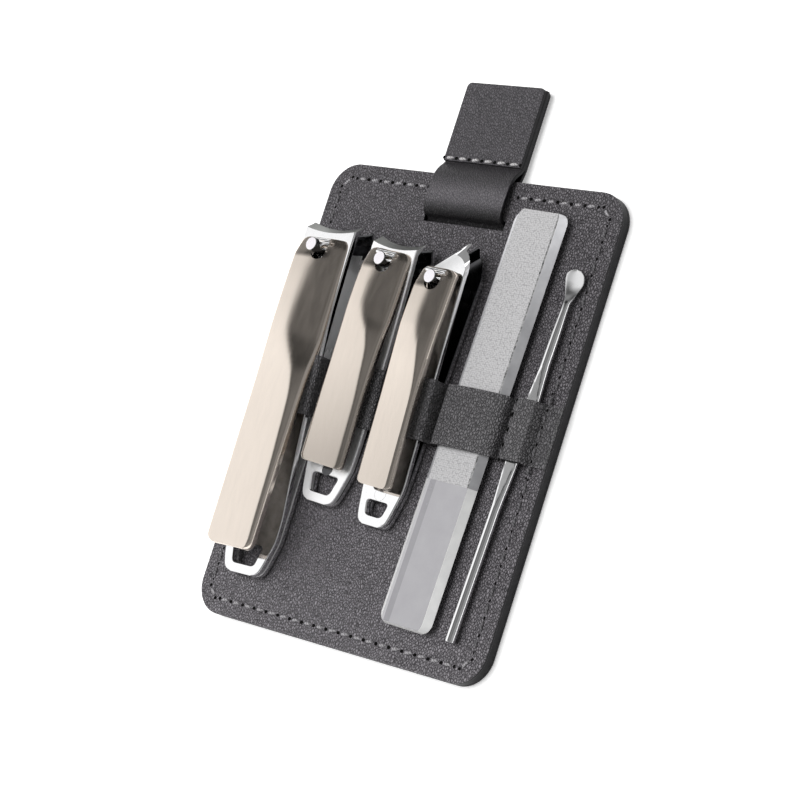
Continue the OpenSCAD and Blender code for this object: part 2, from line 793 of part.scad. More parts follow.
module file_plan() {
    w = file_w / 2;
    r = file_corner;
    polygon([[-w + file_chamfer, 0], [w - file_chamfer, 0], [w, file_chamfer], [w, file_l - r],
        [-w, file_l - r], [-w, file_chamfer]]);
    translate([-w + r, 0]) square([file_w - 2 * r, file_l]);
    for (x = [-1, 1]) translate([x * (w - r), file_l - r]) circle(r);
}

module glass_file() {
    w = file_w / 2;
    color("#c3c2c7") translate([file_x, band_y, tool_z]) rotate([0, 0, file_turn])
        translate([0, file_foot, 0]) intersection() {
            linear_extrude(file_t) file_plan();
            translate([0, file_l / 2, 0]) along(file_l + 1)
                polygon([[-w + file_bevel, 0], [w - file_bevel, 0], [w, file_t / 2],
                    [w - file_bevel, file_t], [-w + file_bevel, file_t], [-w, file_t / 2]]);
        }
}

// The spoon is cut from a ball's shell by a round outline, and tilts up towards its tip
spoon_ball = 3.6;
spoon_tilt = 18;
spoon_drop = 0.4;
spoon_lap = 0.4;
grip_point = 3;
grip_root_share = 0.8;

module spoon() {
    translate([0, 0, spoon_ball - spoon_t / 2]) intersection() {
        difference() {
            sphere(spoon_ball);
            sphere(spoon_ball - spoon_t);
        }
        translate([0, 0, -2 * spoon_ball]) cylinder(d = spoon_w, h = 2 * spoon_ball);
    }
}

module ear_pick() {
    rod_l = pick_l - spoon_w + spoon_lap;
    root = grip_root_share * pick_r;
    color("#c4c5c8") translate([pick_x, band_y, tool_z + pick_r]) rotate([0, 0, pick_turn])
        translate([0, pick_foot_y, 0]) {
            difference() {
                rotate([-90, 0, 0]) cylinder(r = pick_r, h = rod_l);
                for (side = [-1, 1]) translate([0, grip_start + grip_l / 2, side * (grip_t / 2 + far / 2)])
                    cube([far, grip_l - 2 * grip_point, far], center = true);
            }
            translate([0, grip_start, -grip_t / 2]) linear_extrude(grip_t)
                polygon([[-root, 0], [root, 0], [grip_w / 2, grip_point],
                    [grip_w / 2, grip_l - grip_point], [root, grip_l], [-root, grip_l],
                    [-grip_w / 2, grip_l - grip_point], [-grip_w / 2, grip_point]]);
            translate([0, pick_l - spoon_w / 2, -spoon_drop]) rotate([spoon_tilt, 0, 0]) spoon();
        }
}

card_front_leather();
card_stiffener();
card_back_leather();
perimeter_stitching();
holder_band();
band_stitching();
pull_strap();
tab_front_layer();
tab_back_layer();
tab_core_layer();
tab_stitching();
large_lower_arm();
large_upper_arm();
large_tail_rivet();
large_pin();
large_lever();
medium_lower_arm();
medium_upper_arm();
medium_tail_rivet();
medium_pin();
medium_lever();
small_lower_arm();
small_upper_arm();
small_tail_rivet();
small_pin();
small_lever();
glass_file();
ear_pick();
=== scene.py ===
"""The nail care set's looks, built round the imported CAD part."""
import random
from math import cos, hypot, pi, radians, sin, sqrt, tan

import bmesh
import bpy
from mathutils import Matrix, Vector


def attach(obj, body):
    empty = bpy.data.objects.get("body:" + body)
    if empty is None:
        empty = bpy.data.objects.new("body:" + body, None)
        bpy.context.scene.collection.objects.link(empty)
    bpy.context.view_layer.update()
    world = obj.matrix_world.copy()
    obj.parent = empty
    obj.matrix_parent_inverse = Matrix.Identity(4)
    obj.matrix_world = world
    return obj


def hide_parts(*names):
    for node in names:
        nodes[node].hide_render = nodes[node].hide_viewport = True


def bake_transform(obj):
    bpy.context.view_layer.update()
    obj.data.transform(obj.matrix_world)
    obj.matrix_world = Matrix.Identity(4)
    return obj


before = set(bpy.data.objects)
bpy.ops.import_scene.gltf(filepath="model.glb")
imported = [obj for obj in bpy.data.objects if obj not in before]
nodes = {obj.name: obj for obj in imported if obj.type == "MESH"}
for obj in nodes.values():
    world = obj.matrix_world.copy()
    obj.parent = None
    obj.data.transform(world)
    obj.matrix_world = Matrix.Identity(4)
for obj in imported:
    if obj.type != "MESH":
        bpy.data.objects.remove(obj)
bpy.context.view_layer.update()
random.seed(7)

MM = 0.001
CARD_W = 82.7
CARD_L = 105.0
CARD_TOP = 3.0
LEATHER = 0.9
TOOL_Z = 3.2
BAND_W = 13.0
BAND_T = 0.65
# The card's slot for the strap: half its width, and where it starts and ends
SLOT_X = 11.35
SLOT_LOW = 41.55
SLOT_HIGH = 43.65
STITCH_LENGTH = 2.2
STITCH_WIDTH = 0.7
STITCH_HEIGHT = 0.4
STITCH_PITCH = 3.7
STITCH_INSET = 3.4
# How much deeper a stitch lies where a tool slides over it
STITCH_SINK = 0.19
# How far in front of its pin's middle a lever's pivot is
PIN_REACH = 1.65
# What is left of a lever's thickness in the lip in front of its pin
LIP_SHARE = 0.42
FILE = dict(x=20.85, tail=-44.7, turn=-1.45, half=7.1)
PICK = dict(x=34.0, tail=-44.9, turn=-2.1, half=1.55)

CLIPPERS = {
    "large": dict(
        x=-28.6, length=79.1, width=14.9, height=8.0, sheet=1.4, mouth=3.2, flat=13.0, rise=2.0,
        pin_s=72.4, pin_top=12.5, pivot=10.0, lever_w=14.3, lever_end=4.6, slope=1.5,
        end_slope=0.5, tail=-42.8, turn=0.8, hole=8.8, slant=0.0, notch=2.12,
    ),
    "medium": dict(
        x=-12.1, length=59.0, width=13.1, height=7.0, sheet=1.25, mouth=2.7, flat=10.5, rise=0.55,
        pin_s=53.2, pin_top=10.3, pivot=8.9, lever_w=12.2, lever_end=7.7, slope=2.9,
        end_slope=4.7, tail=-23.9, turn=-3.3, hole=8.0, slant=0.0, notch=1.82,
    ),
    "small": dict(
        x=4.25, length=62.3, width=11.4, height=7.3, sheet=1.2, mouth=2.7, flat=10.0, rise=1.0,
        pin_s=52.9, pin_top=10.7, pivot=9.4, lever_w=9.9, lever_end=7.7, slope=1.2,
        end_slope=6.0, tail=-26.0, turn=-2.3, hole=6.1, slant=37.0, notch=1.75,
    ),
}


# Materials

def new_material(name):
    made = bpy.data.materials.new(name)
    made.use_nodes = True
    tree = made.node_tree
    return made, tree, tree.nodes["Principled BSDF"]


def give(tree, node, inputs):
    """Sets a node's inputs, each to a value or to another node's output."""
    for key, value in inputs.items():
        if isinstance(value, bpy.types.NodeSocket):
            tree.links.new(value, node.inputs[key])
        else:
            node.inputs[key].default_value = value


def add_node(tree, kind, inputs, output=0, **settings):
    """Adds a node with its settings and inputs, and returns one of its outputs."""
    made = tree.nodes.new("ShaderNode" + kind)
    for key, value in settings.items():
        setattr(made, key, value)
    give(tree, made, inputs)
    return made.outputs[output]


def calculate(tree, operation, a, b):
    return add_node(tree, "Math", {0: a, 1: b}, operation=operation)


def soft_range(tree, value, low, high, first=0.0, last=1.0):
    """Goes smoothly from first to last while a value goes from low to high."""
    return add_node(tree, "MapRange", {
        "Value": value, "From Min": low, "From Max": high, "To Min": first, "To Max": last
    }, interpolation_type="SMOOTHSTEP")


def coordinates(tree, stretch=(1.0, 1.0, 1.0), turn=0.0):
    source = add_node(tree, "TexCoord", {}, "Object")
    return add_node(tree, "Mapping", {"Vector": source, "Scale": stretch, "Rotation": (0.0, 0.0, turn)})


def noise_texture(tree, vector, scale, detail=3.0, roughness=0.5, output="Fac"):
    return add_node(tree, "TexNoise", {
        "Vector": vector, "Scale": scale, "Detail": detail, "Roughness": roughness
    }, output)


def ramp(tree, factor, stops):
    """A colour ramp with stops at places; each stop is a colour, or one number for a grey."""
    made = tree.nodes.new("ShaderNodeValToRGB")
    elements = made.color_ramp.elements
    while len(elements) < len(stops):
        elements.new(0.5)
    for element, (place, colour) in zip(elements, stops):
        element.position = place
        element.color = (*(colour if isinstance(colour, tuple) else (colour,) * 3), 1.0)
    tree.links.new(factor, made.inputs["Fac"])
    return made.outputs["Color"]


def bump(tree, shader, height, strength, distance):
    normal = add_node(tree, "Bump", {"Height": height, "Strength": strength, "Distance": distance * MM})
    tree.links.new(normal, shader.inputs["Normal"])


def painted_light_along(tree, colour, stops):
    """Painted light and shade: a colour made deeper or lighter along a piece, by shares at places along Y
    in mm.
    """
    if not stops:
        return colour
    low, high = stops[0][0], stops[-1][0]
    source = add_node(tree, "TexCoord", {}, "Object")
    along = add_node(tree, "SeparateXYZ", {0: source}, "Y")
    place = add_node(tree, "MapRange", {"Value": along, "From Min": low * MM, "From Max": high * MM})
    shares = ramp(tree, place, [((y - low) / (high - low), share) for y, share in stops])
    return add_node(tree, "VectorMath", {0: colour, 1: shares}, operation="MULTIPLY")


def dress(tree, shader, colour, stops, clouds, rough):
    """Gives a shader its colour, and a roughness that goes with the clouds."""
    give(tree, shader, {
        "Base Color": painted_light_along(tree, colour, stops),
        "Roughness": ramp(tree, clouds, [(0.3, rough[0]), (0.7, rough[1])]),
    })


def leather_material(name, dark, light, grain=2050.0, depth=0.28, rough=(0.42, 0.6), shine=0.45,
                     stops=None):
    made, tree, shader = new_material(name)
    vector = coordinates(tree, (1.0, 0.75, 1.0), 0.6)
    waves = noise_texture(tree, vector, grain * 0.6, 2.0, output="Color")
    bent = add_node(tree, "VectorMath", {0: waves, 1: (0.9 / grain,) * 3, 2: vector},
                    operation="MULTIPLY_ADD")
    cells = add_node(tree, "TexVoronoi", {"Scale": grain, "Randomness": 1.0, "Vector": bent},
                     "Distance", feature="DISTANCE_TO_EDGE")
    clouds = noise_texture(tree, vector, 700.0, 4.0)
    domes = ramp(tree, cells, [(0.0, 0.0), (0.12, 0.6), (0.32, 1.0)])
    height = add_node(tree, "Math", {0: clouds, 1: 0.6, 2: domes}, operation="MULTIPLY_ADD")
    dress(tree, shader, ramp(tree, height, [(0.2, dark), (0.95, light)]), stops, clouds, rough)
    bump(tree, shader, domes, 1.0, depth)
    shader.inputs["Specular IOR Level"].default_value = shine
    return made


def metal_material(name, dark, light, rough, scale=900.0, stretch=(1.0, 1.0, 1.0), metallic=1.0,
                   stops=None):
    made, tree, shader = new_material(name)
    grain = noise_texture(tree, coordinates(tree, stretch), scale, 4.0, 0.6)
    dress(tree, shader, ramp(tree, grain, [(0.3, dark), (0.7, light)]), stops, grain, rough)
    shader.inputs["Metallic"].default_value = metallic
    return made


def paint_material(name, dark, light, rough):
    made, tree, shader = new_material(name)
    clouds = noise_texture(tree, coordinates(tree), 600.0)
    give(tree, shader, {
        "Base Color": ramp(tree, clouds, [(0.3, dark), (0.7, light)]),
        "Roughness": rough, "Specular IOR Level": 0.2,
    })
    return made


def thread_material(name, dark, light):
    made, tree, shader = new_material(name)
    strands = add_node(tree, "TexWave", {
        "Scale": 900.0, "Distortion": 1.5, "Vector": coordinates(tree)
    }, "Fac", bands_direction="DIAGONAL")
    give(tree, shader, {
        "Base Color": ramp(tree, strands, [(0.2, dark), (0.8, light)]), "Roughness": 0.5,
    })
    bump(tree, shader, strands, 0.3, 0.04)
    return made


def glass_material(name, dark, light, rough, grain=0.0, depth=0.0, coat=0.0, stops=None):
    made, tree, shader = new_material(name)
    vector = coordinates(tree)
    clouds = noise_texture(tree, vector, 300.0)
    source = clouds
    if grain:
        source = add_node(tree, "TexVoronoi", {"Scale": grain, "Randomness": 0.55, "Vector": vector},
                          "Distance", feature="F1")
        bump(tree, shader, source, 0.7, depth)
    dress(tree, shader, ramp(tree, source, [(0.25, light), (0.75, dark)]), stops, clouds, rough)
    give(tree, shader, {"Coat Weight": coat, "Coat Roughness": 0.1})
    return made


# The card leather's stops are painted light: lighter towards the card's bottom end, deeper towards the tab.
CARD_LEATHER = leather_material(
    "card_grain_leather", (0.014, 0.0133, 0.0146), (0.164, 0.155, 0.167), 1950.0, 0.50,
    stops=[(-52.0, 1.5), (-36.0, 1.42), (-12.0, 1.25), (15.0, 1.1), (45.0, 1.07)])
BACK_LEATHER = leather_material("card_back_grain", (0.016, 0.015, 0.017), (0.035, 0.033, 0.036))
BAND_LEATHER = leather_material(
    "band_grain_leather", (0.010, 0.010, 0.011), (0.125, 0.121, 0.127), 1800.0, 0.3, (0.3, 0.42), 1.0)
TAB_LEATHER = leather_material("tab_grain_leather", (0.024, 0.023, 0.025), (0.112, 0.106, 0.115))
# The strap's stops are painted light and shade: near-black where it dives into the slot, a painted
# highlight along its crest, and painted shade below the tab's stitches.
STRAP_LEATHER = leather_material(
    "strap_leather", (0.027, 0.026, 0.029), (0.090, 0.085, 0.092), 2050.0, 0.15,
    stops=[(42.8, 0.1), (43.8, 0.16), (45.0, 0.6), (46.4, 1.35), (48.4, 1.4), (50.2, 0.9), (52.0, 0.55),
           (55.5, 0.45)])
BOARD = leather_material("board", (0.02, 0.02, 0.02), (0.05, 0.05, 0.05), 900.0, 0.02)
# Needle holes are flat near-black discs on the leather, painted shade for the holes' depth.
HOLE_SHADE = paint_material("needle_hole_painted_shade", (0.002, 0.002, 0.002), (0.006, 0.006, 0.006), 1.0)
EDGE_PAINT = paint_material("edge_paint", (0.006, 0.006, 0.007), (0.014, 0.013, 0.015), 0.5)
CARD_THREAD = thread_material("card_thread", (0.16, 0.155, 0.16), (0.36, 0.35, 0.365))
# A darker copy of the card's thread, as painted shade on the stitches of the card's side columns; the
# band's seams take it too.
SHADED_THREAD = thread_material("thread_painted_shade", (0.06, 0.058, 0.062), (0.13, 0.126, 0.132))
TAB_THREAD = thread_material("tab_thread", (0.26, 0.25, 0.25), (0.50, 0.49, 0.50))
STEEL = metal_material("polished_steel", (0.87, 0.87, 0.875), (0.92, 0.92, 0.925), (0.06, 0.1))
# Half-metallic white steel: its white diffuse part is a painted reflection, standing in for the bright
# reflection of polished steel.
STEEL_PAINTED_WHITE = metal_material(
    "steel_with_painted_reflection", (0.92, 0.92, 0.925), (0.96, 0.96, 0.965), (0.28, 0.34), metallic=0.5)
# The jaws' ground bevels: the stretched grain and roughness are their own finish; the low colour is painted
# shade for their darker reflection.
GROUND_SHADED_STEEL = metal_material(
    "ground_steel_painted_shade", (0.17, 0.175, 0.167), (0.23, 0.235, 0.225), (0.38, 0.46), 1500.0, (0.25, 2.0, 1.0))
INNER_STEEL = metal_material(
    "inner_steel", (0.66, 0.66, 0.665), (0.80, 0.80, 0.805), (0.2, 0.3), 300.0, (1.0, 0.25, 1.0), 0.4)
# Near-black steel, as painted shade: inside the arms, on the pins' shafts above the arms, and on the medium
# clipper's rivet.
SHADED_STEEL = metal_material(
    "steel_painted_shade", (0.07, 0.07, 0.074), (0.12, 0.12, 0.125), (0.16, 0.24), 500.0, (1.0, 0.25, 1.0))
PIN_TOP = metal_material("pin_top_steel", (0.90, 0.87, 0.91), (0.95, 0.92, 0.96), (0.1, 0.16))
SPOON_STEEL = metal_material("spoon_steel", (0.70, 0.70, 0.705), (0.76, 0.76, 0.765), (0.27, 0.33))
# Each lever's stops are painted light and shade along it; the medium lever is painted darkest towards its
# tail end.
CHAMPAGNE = {
    name: metal_material(name + "_champagne_plate", (0.77, 0.69, 0.615), (0.83, 0.745, 0.665),
                         (0.20, 0.25), 700.0, (1.0, 0.2, 1.0), stops=stops)
    for name, stops in (
        ("large", [(-40.0, 0.97), (-10.0, 1.0), (5.0, 1.06), (20.0, 1.0), (34.0, 0.97)]),
        ("medium", [(-17.0, 0.66), (-6.0, 0.80), (6.0, 0.92), (22.0, 0.95), (34.0, 0.9)]),
        ("small", [(-19.0, 0.84), (-5.0, 0.90), (8.0, 1.0), (18.0, 0.95), (30.0, 0.9)]),
    )
}
# A darker copy of the champagne plate, as painted shade on the upright flanks of the medium and small
# levers.
SHADED_PLATE = metal_material(
    "plate_painted_shade", (0.33, 0.295, 0.265), (0.40, 0.36, 0.32), (0.24, 0.3), 700.0, (1.0, 0.2, 1.0))
# Near-black plate for the levers' undersides, as painted shade.
UNDERSIDE_SHADE_PLATE = metal_material("lever_underside_painted_shade", (0.10, 0.09, 0.08), (0.16, 0.145, 0.13), (0.3, 0.4), 500.0)
ETCHED = glass_material(
    "etched_glass", (0.28, 0.278, 0.282), (0.475, 0.47, 0.477), (0.5, 0.6), 2300.0, 0.05)
# The file's bevel is painted lighter towards its far end, as painted light.
BEVEL_GLASS = glass_material(
    "bevel_glass", (0.27, 0.27, 0.28), (0.37, 0.37, 0.38), (0.3, 0.4), coat=0.2,
    stops=[(0.0, 0.95), (20.0, 1.2), (36.0, 1.9), (46.0, 2.6)])
# The handle's top is painted in strips: a painted highlight along its left rim, then painted shade, then
# the plain glass. Its edges are painted lighter towards the tail end.
HANDLE_GLASS = glass_material(
    "handle_glass", (0.30, 0.295, 0.31), (0.33, 0.325, 0.34), (0.18, 0.26), coat=0.4)
HANDLE_SHADE = glass_material(
    "handle_shade_glass", (0.23, 0.225, 0.24), (0.26, 0.255, 0.27), (0.2, 0.28), coat=0.4)
HANDLE_RIM_HIGHLIGHT = glass_material(
    "handle_rim_painted_highlight", (0.36, 0.355, 0.37), (0.40, 0.395, 0.41), (0.2, 0.28), coat=0.4)
HANDLE_EDGE = glass_material(
    "handle_edge_glass", (0.62, 0.62, 0.62), (0.74, 0.74, 0.73), (0.2, 0.3), coat=0.4,
    stops=[(-45.0, 1.25), (-14.0, 0.95)])
DOTS = glass_material("dotted_edge", (0.30, 0.30, 0.30), (0.0, 0.0, 0.0), (0.5, 0.6), 1500.0, 0.02)


# Mesh helpers

def add_object(name, data, *materials):
    made = bpy.data.objects.new(name, data)
    bpy.context.scene.collection.objects.link(made)
    for each in materials:
        data.materials.append(each)
    return made


def mesh_of(name, points, faces, *materials):
    mesh = bpy.data.meshes.new(name)
    mesh.from_pydata([(x * MM, y * MM, z * MM) for x, y, z in points], [], faces)
    mesh.validate()
    made = add_object(name, mesh, *materials)
    tidy_normals(made)
    return made


def tidy_normals(obj):
    work = bmesh.new()
    work.from_mesh(obj.data)
    bmesh.ops.recalc_face_normals(work, faces=work.faces)
    work.to_mesh(obj.data)
    work.free()


def bake(obj):
    graph = bpy.context.evaluated_depsgraph_get()
    baked = bpy.data.meshes.new_from_object(obj.evaluated_get(graph))
    obj.modifiers.clear()
    obj.data = baked


def shade(obj, angle=32.0):
    obj.data.polygons.foreach_set("use_smooth", [True] * len(obj.data.polygons))
    obj.data.set_sharp_from_angle(angle=radians(angle))
    weighted = obj.modifiers.new("normals", "WEIGHTED_NORMAL")
    weighted.keep_sharp = True
    weighted.weight = 80
    bake(obj)


def rings_faces(count, around, pair=None):
    """Faces between rings. An end is one flat face, or strips from point k to point pair - k."""
    faces = []
    for i in range(count - 1):
        for j in range(around):
            k = (j + 1) % around
            faces.append((i * around + j, i * around + k, (i + 1) * around + k, (i + 1) * around + j))
    for start in (0, (count - 1) * around):
        if pair is None:
            faces.append(tuple(start + j for j in range(around)))
            continue
        for k in range(-((around - pair) // 2), pair // 2):
            faces.append(tuple(start + j % around for j in (k, k + 1, pair - k - 1, pair - k)))
    return faces


def loft(name, rings, *materials, pair=None):
    points = [point for ring in rings for point in ring]
    return mesh_of(name, points, rings_faces(len(rings), len(rings[0]), pair), *materials)


def cut(obj, cutters, operation="DIFFERENCE"):
    for cutter in cutters:
        step = obj.modifiers.new("cut", "BOOLEAN")
        step.operation = operation
        step.solver = "EXACT"
        step.object = cutter
    bake(obj)
    for cutter in cutters:
        bpy.data.objects.remove(cutter)


def paint_edges(obj, material, axis=2, limit=0.55, beyond=False):
    """Gives a material to the faces that look across an axis, or along it."""
    obj.data.materials.append(material)
    index = len(obj.data.materials) - 1
    for face in obj.data.polygons:
        if (abs(face.normal[axis]) > limit) == beyond:
            face.material_index = index


def finish_piece(obj, body, replaces=()):
    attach(obj, body)
    if replaces:
        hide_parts(*replaces)


def recolour(node_name, material):
    """Gives a material to one of the CAD's nodes that the scene keeps."""
    materials = nodes[node_name].data.materials
    materials.clear()
    materials.append(material)


def mix(a, b, share):
    return a + (b - a) * share


def smooth_path(points):
    """Cuts a path's corners twice, a quarter of the way along each side."""
    for _ in range(2):
        made = [points[0]]
        for a, b in zip(points, points[1:]):
            for start, end in ((a, b), (b, a)):
                made.append(tuple(mix(p, q, 0.25) for p, q in zip(start, end)))
        made.append(points[-1])
        points = made
    return points


def normals_along(line):
    """Each point of a line, with the line's unit normal there."""
    for a, (x, z), b in zip(line[:1] + line[:-1], line, line[1:] + line[-1:]):
        size = hypot(b[0] - a[0], b[1] - a[1]) or 1.0
        yield x, z, (a[1] - b[1]) / size, (b[0] - a[0]) / size


def step_up(x, low, high):
    share = min(max((x - low) / (high - low), 0.0), 1.0)
    return share * share * (3 - 2 * share)


def between(value, table):
    """Reads a table of (place, number) pairs along a smooth curve through them."""
    if value <= table[0][0]:
        return table[0][1]
    slopes = [0.0]
    for (a, low), (b, middle), (c, high) in zip(table, table[1:], table[2:]):
        before = (middle - low) / (b - a)
        after = (high - middle) / (c - b)
        slopes.append(0.0 if before * after <= 0 else 2 * before * after / (before + after))
    slopes.append(0.0)
    for (a, first), (b, second), rise, fall in zip(table, table[1:], slopes, slopes[1:]):
        if value <= b:
            width = b - a
            t = (value - a) / width
            return (first * (1 + 2 * t) * (1 - t) ** 2 + rise * width * t * (1 - t) ** 2
                    + second * t * t * (3 - 2 * t) + fall * width * t * t * (t - 1))
    return table[-1][1]


def turns(count):
    return [2 * pi * i / count for i in range(count)]


def arc(cx, cy, rx, ry, start, steps):
    """Points on a quarter turn round a centre, from an angle in degrees."""
    angles = [radians(start + 90 * i / steps) for i in range(steps + 1)]
    return [(cx + rx * cos(a), cy + ry * sin(a)) for a in angles]


def rounded_box_outline(w, l, r):
    outline = []
    for qx, qy, start in ((1, -1, -90), (1, 1, 0), (-1, 1, 90), (-1, -1, 180)):
        outline += arc(qx * (w / 2 - r), qy * (l / 2 - r), r, r, start, 14)
    return outline


def plate(name, outlines, low, high, edge, *materials):
    """A flat plate with rounded edges from closed outlines; the inner ones are holes."""
    curve = bpy.data.curves.new(name, "CURVE")
    curve.dimensions = "2D"
    curve.fill_mode = "BOTH"
    curve.extrude = ((high - low) / 2 - edge) * MM
    curve.bevel_depth = edge * MM
    curve.bevel_resolution = 3
    curve.offset = -edge * MM
    for outline in outlines:
        spline = curve.splines.new("POLY")
        spline.points.add(len(outline) - 1)
        for point, (x, y) in zip(spline.points, outline):
            point.co = (x * MM, y * MM, 0.0, 1.0)
        spline.use_cyclic_u = True
    source = add_object(name, curve)
    graph = bpy.context.evaluated_depsgraph_get()
    mesh = bpy.data.meshes.new_from_object(source.evaluated_get(graph))
    bpy.data.objects.remove(source)
    mesh.transform(Matrix.Translation((0, 0, (low + high) / 2 * MM)))
    mesh.materials.clear()
    made = add_object(name, mesh, *materials)
    tidy_normals(made)
    return made


# Card

def leather_layer(name, outlines, low, high, edge, leather, body, replaced):
    layer = plate(name, outlines, low, high, edge, leather)
    shade(layer)
    paint_edges(layer, EDGE_PAINT)
    finish_piece(layer, body, [replaced])


def build_card():
    slot = [(-SLOT_X, SLOT_LOW), (SLOT_X, SLOT_LOW), (SLOT_X, SLOT_HIGH), (-SLOT_X, SLOT_HIGH)]
    outline = rounded_box_outline(CARD_W, CARD_L, 7.0)
    leather_layer("card_front", [outline, slot], 2.1, CARD_TOP, 0.28, CARD_LEATHER, "card",
                  "card_front_leather")
    leather_layer("card_back", [outline], 0.0, LEATHER, 0.25, BACK_LEATHER, "card",
                  "card_back_leather")
    recolour("card_stiffener", BOARD)
    edge = plate("card_edge_paint", [rounded_box_outline(CARD_W - 0.1, CARD_L - 0.1, 6.95)],
                 0.6, 2.4, 0.2, EDGE_PAINT)
    hollow_low = 27.5
    corners = [(-SLOT_X, hollow_low), (SLOT_X, hollow_low), (SLOT_X, SLOT_HIGH), (-SLOT_X, SLOT_HIGH)]
    cut(edge, [loft("slot_cutter", [[(x, y, z) for x, y in corners] for z in (0.75, 5.0)])])
    shade(edge)
    finish_piece(edge, "card")


def stitch_points(place, angle, length, z, tilt):
    """One stitch: a sagging pillow of thread, fat in the middle and pointed at its needle holes."""
    points = []
    around = 8
    along = 7
    for i in range(along):
        t = i / (along - 1) * 2 - 1
        swell = sqrt(max(1 - abs(t) ** 3.0, 0.0)) * 0.94 + 0.06
        middle = z + STITCH_HEIGHT * (0.30 - 0.55 * abs(t) ** 2.5)
        lx = t * length / 2
        for a in turns(around):
            ly = cos(a) * STITCH_WIDTH / 2 * swell + tilt * t
            points.append((place[0] + lx * cos(angle) - ly * sin(angle),
                           place[1] + lx * sin(angle) + ly * cos(angle),
                           middle + sin(a) * STITCH_HEIGHT * 0.62 * swell))
    return points, rings_faces(along, around)


# A needle hole: a flat dark disc of painted shade, a hair above the leather.
def pit_points(x, y, z, size):
    around = 10
    points = [(x, y, z + 0.03)]
    points += [(x + size * cos(a), y + size * sin(a), z + 0.015) for a in turns(around)]
    return points, [(0, 1 + j, 1 + (j + 1) % around) for j in range(around)]


def gather(parts):
    points, faces = [], []
    for some, their in parts:
        start = len(points)
        points.extend(some)
        faces.extend([tuple(start + i for i in face) for face in their])
    return points, faces


def stitch_row(name, body, places, z_of, material, replaces, pitch=STITCH_PITCH,
               column_shade_thread=None, lanes=()):
    """A row of stitches with their needle holes, drawn as discs of painted shade; lanes are where tools
    slide over the upper row.
    """
    parts, pits = [], []
    for (x, y), angle in places:
        jitter = random.uniform(-0.05, 0.05) + 0.1
        z = z_of(x, y)
        sunk = STITCH_SINK if y > 45 and any(low < x < high for low, high in lanes) else 0.0
        parts.append(stitch_points((x, y), angle + jitter, STITCH_LENGTH * random.uniform(0.95, 1.04),
                                   z - sunk, random.uniform(-0.04, 0.04)))
        reach = pitch / 2 * 0.93
        for side in (-reach, reach):
            pits.append(pit_points(x + side * cos(angle), y + side * sin(angle), z,
                                   0.26 if column_shade_thread and abs(angle) > 1.0 else 0.38))
    points, faces = gather(parts)
    row = mesh_of(name, points, faces, material)
    # On the side columns the stitches take the darker thread, as painted shade.
    if column_shade_thread:
        row.data.materials.append(column_shade_thread)
        share = len(faces) // len(places)
        for i, (_, angle) in enumerate(places):
            for face in row.data.polygons[i * share:(i + 1) * share]:
                face.material_index = 1 if abs(angle) > 1.0 else 0
    shade(row, 70)
    finish_piece(row, body, replaces)
    finish_piece(mesh_of(name + "_holes", *gather(pits), HOLE_SHADE), body)


def build_stitches():
    run_x = CARD_W / 2 - STITCH_INSET
    run_y = CARD_L / 2 - STITCH_INSET
    turn_r = 3.6
    across = round(2 * (run_x - turn_r) / STITCH_PITCH)
    up = round(2 * (run_y - turn_r) / STITCH_PITCH)
    step_x = 2 * (run_x - turn_r) / across
    step_y = 2 * (run_y - turn_r) / up
    places = []
    for side in (-1, 1):
        for i in range(across):
            places.append(((-run_x + turn_r + (i + 0.5) * step_x, side * run_y), 0.0))
        for i in range(up):
            places.append(((side * run_x, -run_y + turn_r + (i + 0.5) * step_y), pi / 2))
    back = turn_r * (1 - cos(radians(45)))
    for sx in (-1, 1):
        for sy in (-1, 1):
            places.append(((sx * (run_x - back), sy * (run_y - back)), -pi / 4 * sx * sy))
    places = [p for p in places if not (p[0][1] > 45 and abs(p[0][0]) < 11.6)]

    def z_of(x, y):
        return CARD_TOP + (BAND_T if abs(y) < (BAND_W + 2.6) / 2 and abs(x) > 30 else 0.0)

    stitch_row("card_stitches", "card", places, z_of, CARD_THREAD,
               ["perimeter_stitching"], column_shade_thread=SHADED_THREAD,
               lanes=((-39.0, -18.5), (11.0, 31.0)))
    step = 3.25
    seams = [((x, -6.5 + (i + 0.5) * step), pi / 2) for x in (-3.5, 11.85, 29.7) for i in range(4)]
    stitch_row("band_stitches", "card", seams, lambda x, y: CARD_TOP + BAND_T, SHADED_THREAD,
               ["band_stitching"], pitch=step)
    tab_row = [(((i - 2.5) * 3.633, 56.1), 0.0) for i in range(6)]
    stitch_row("tab_stitches", "tab", tab_row, lambda x, y: 3.3, TAB_THREAD,
               ["tab_stitching"])


# Band

def lift_of(c, s):
    f = min(max((s - c["flat"]) / (c["length"] - 3 - c["flat"]), 0.0), 1.0)
    return (c["height"] - 2 * c["sheet"]) * (c["rise"] * f + (1 - c["rise"]) * f * f)


def top_of(c, s):
    return 2 * c["sheet"] + lift_of(c, s)


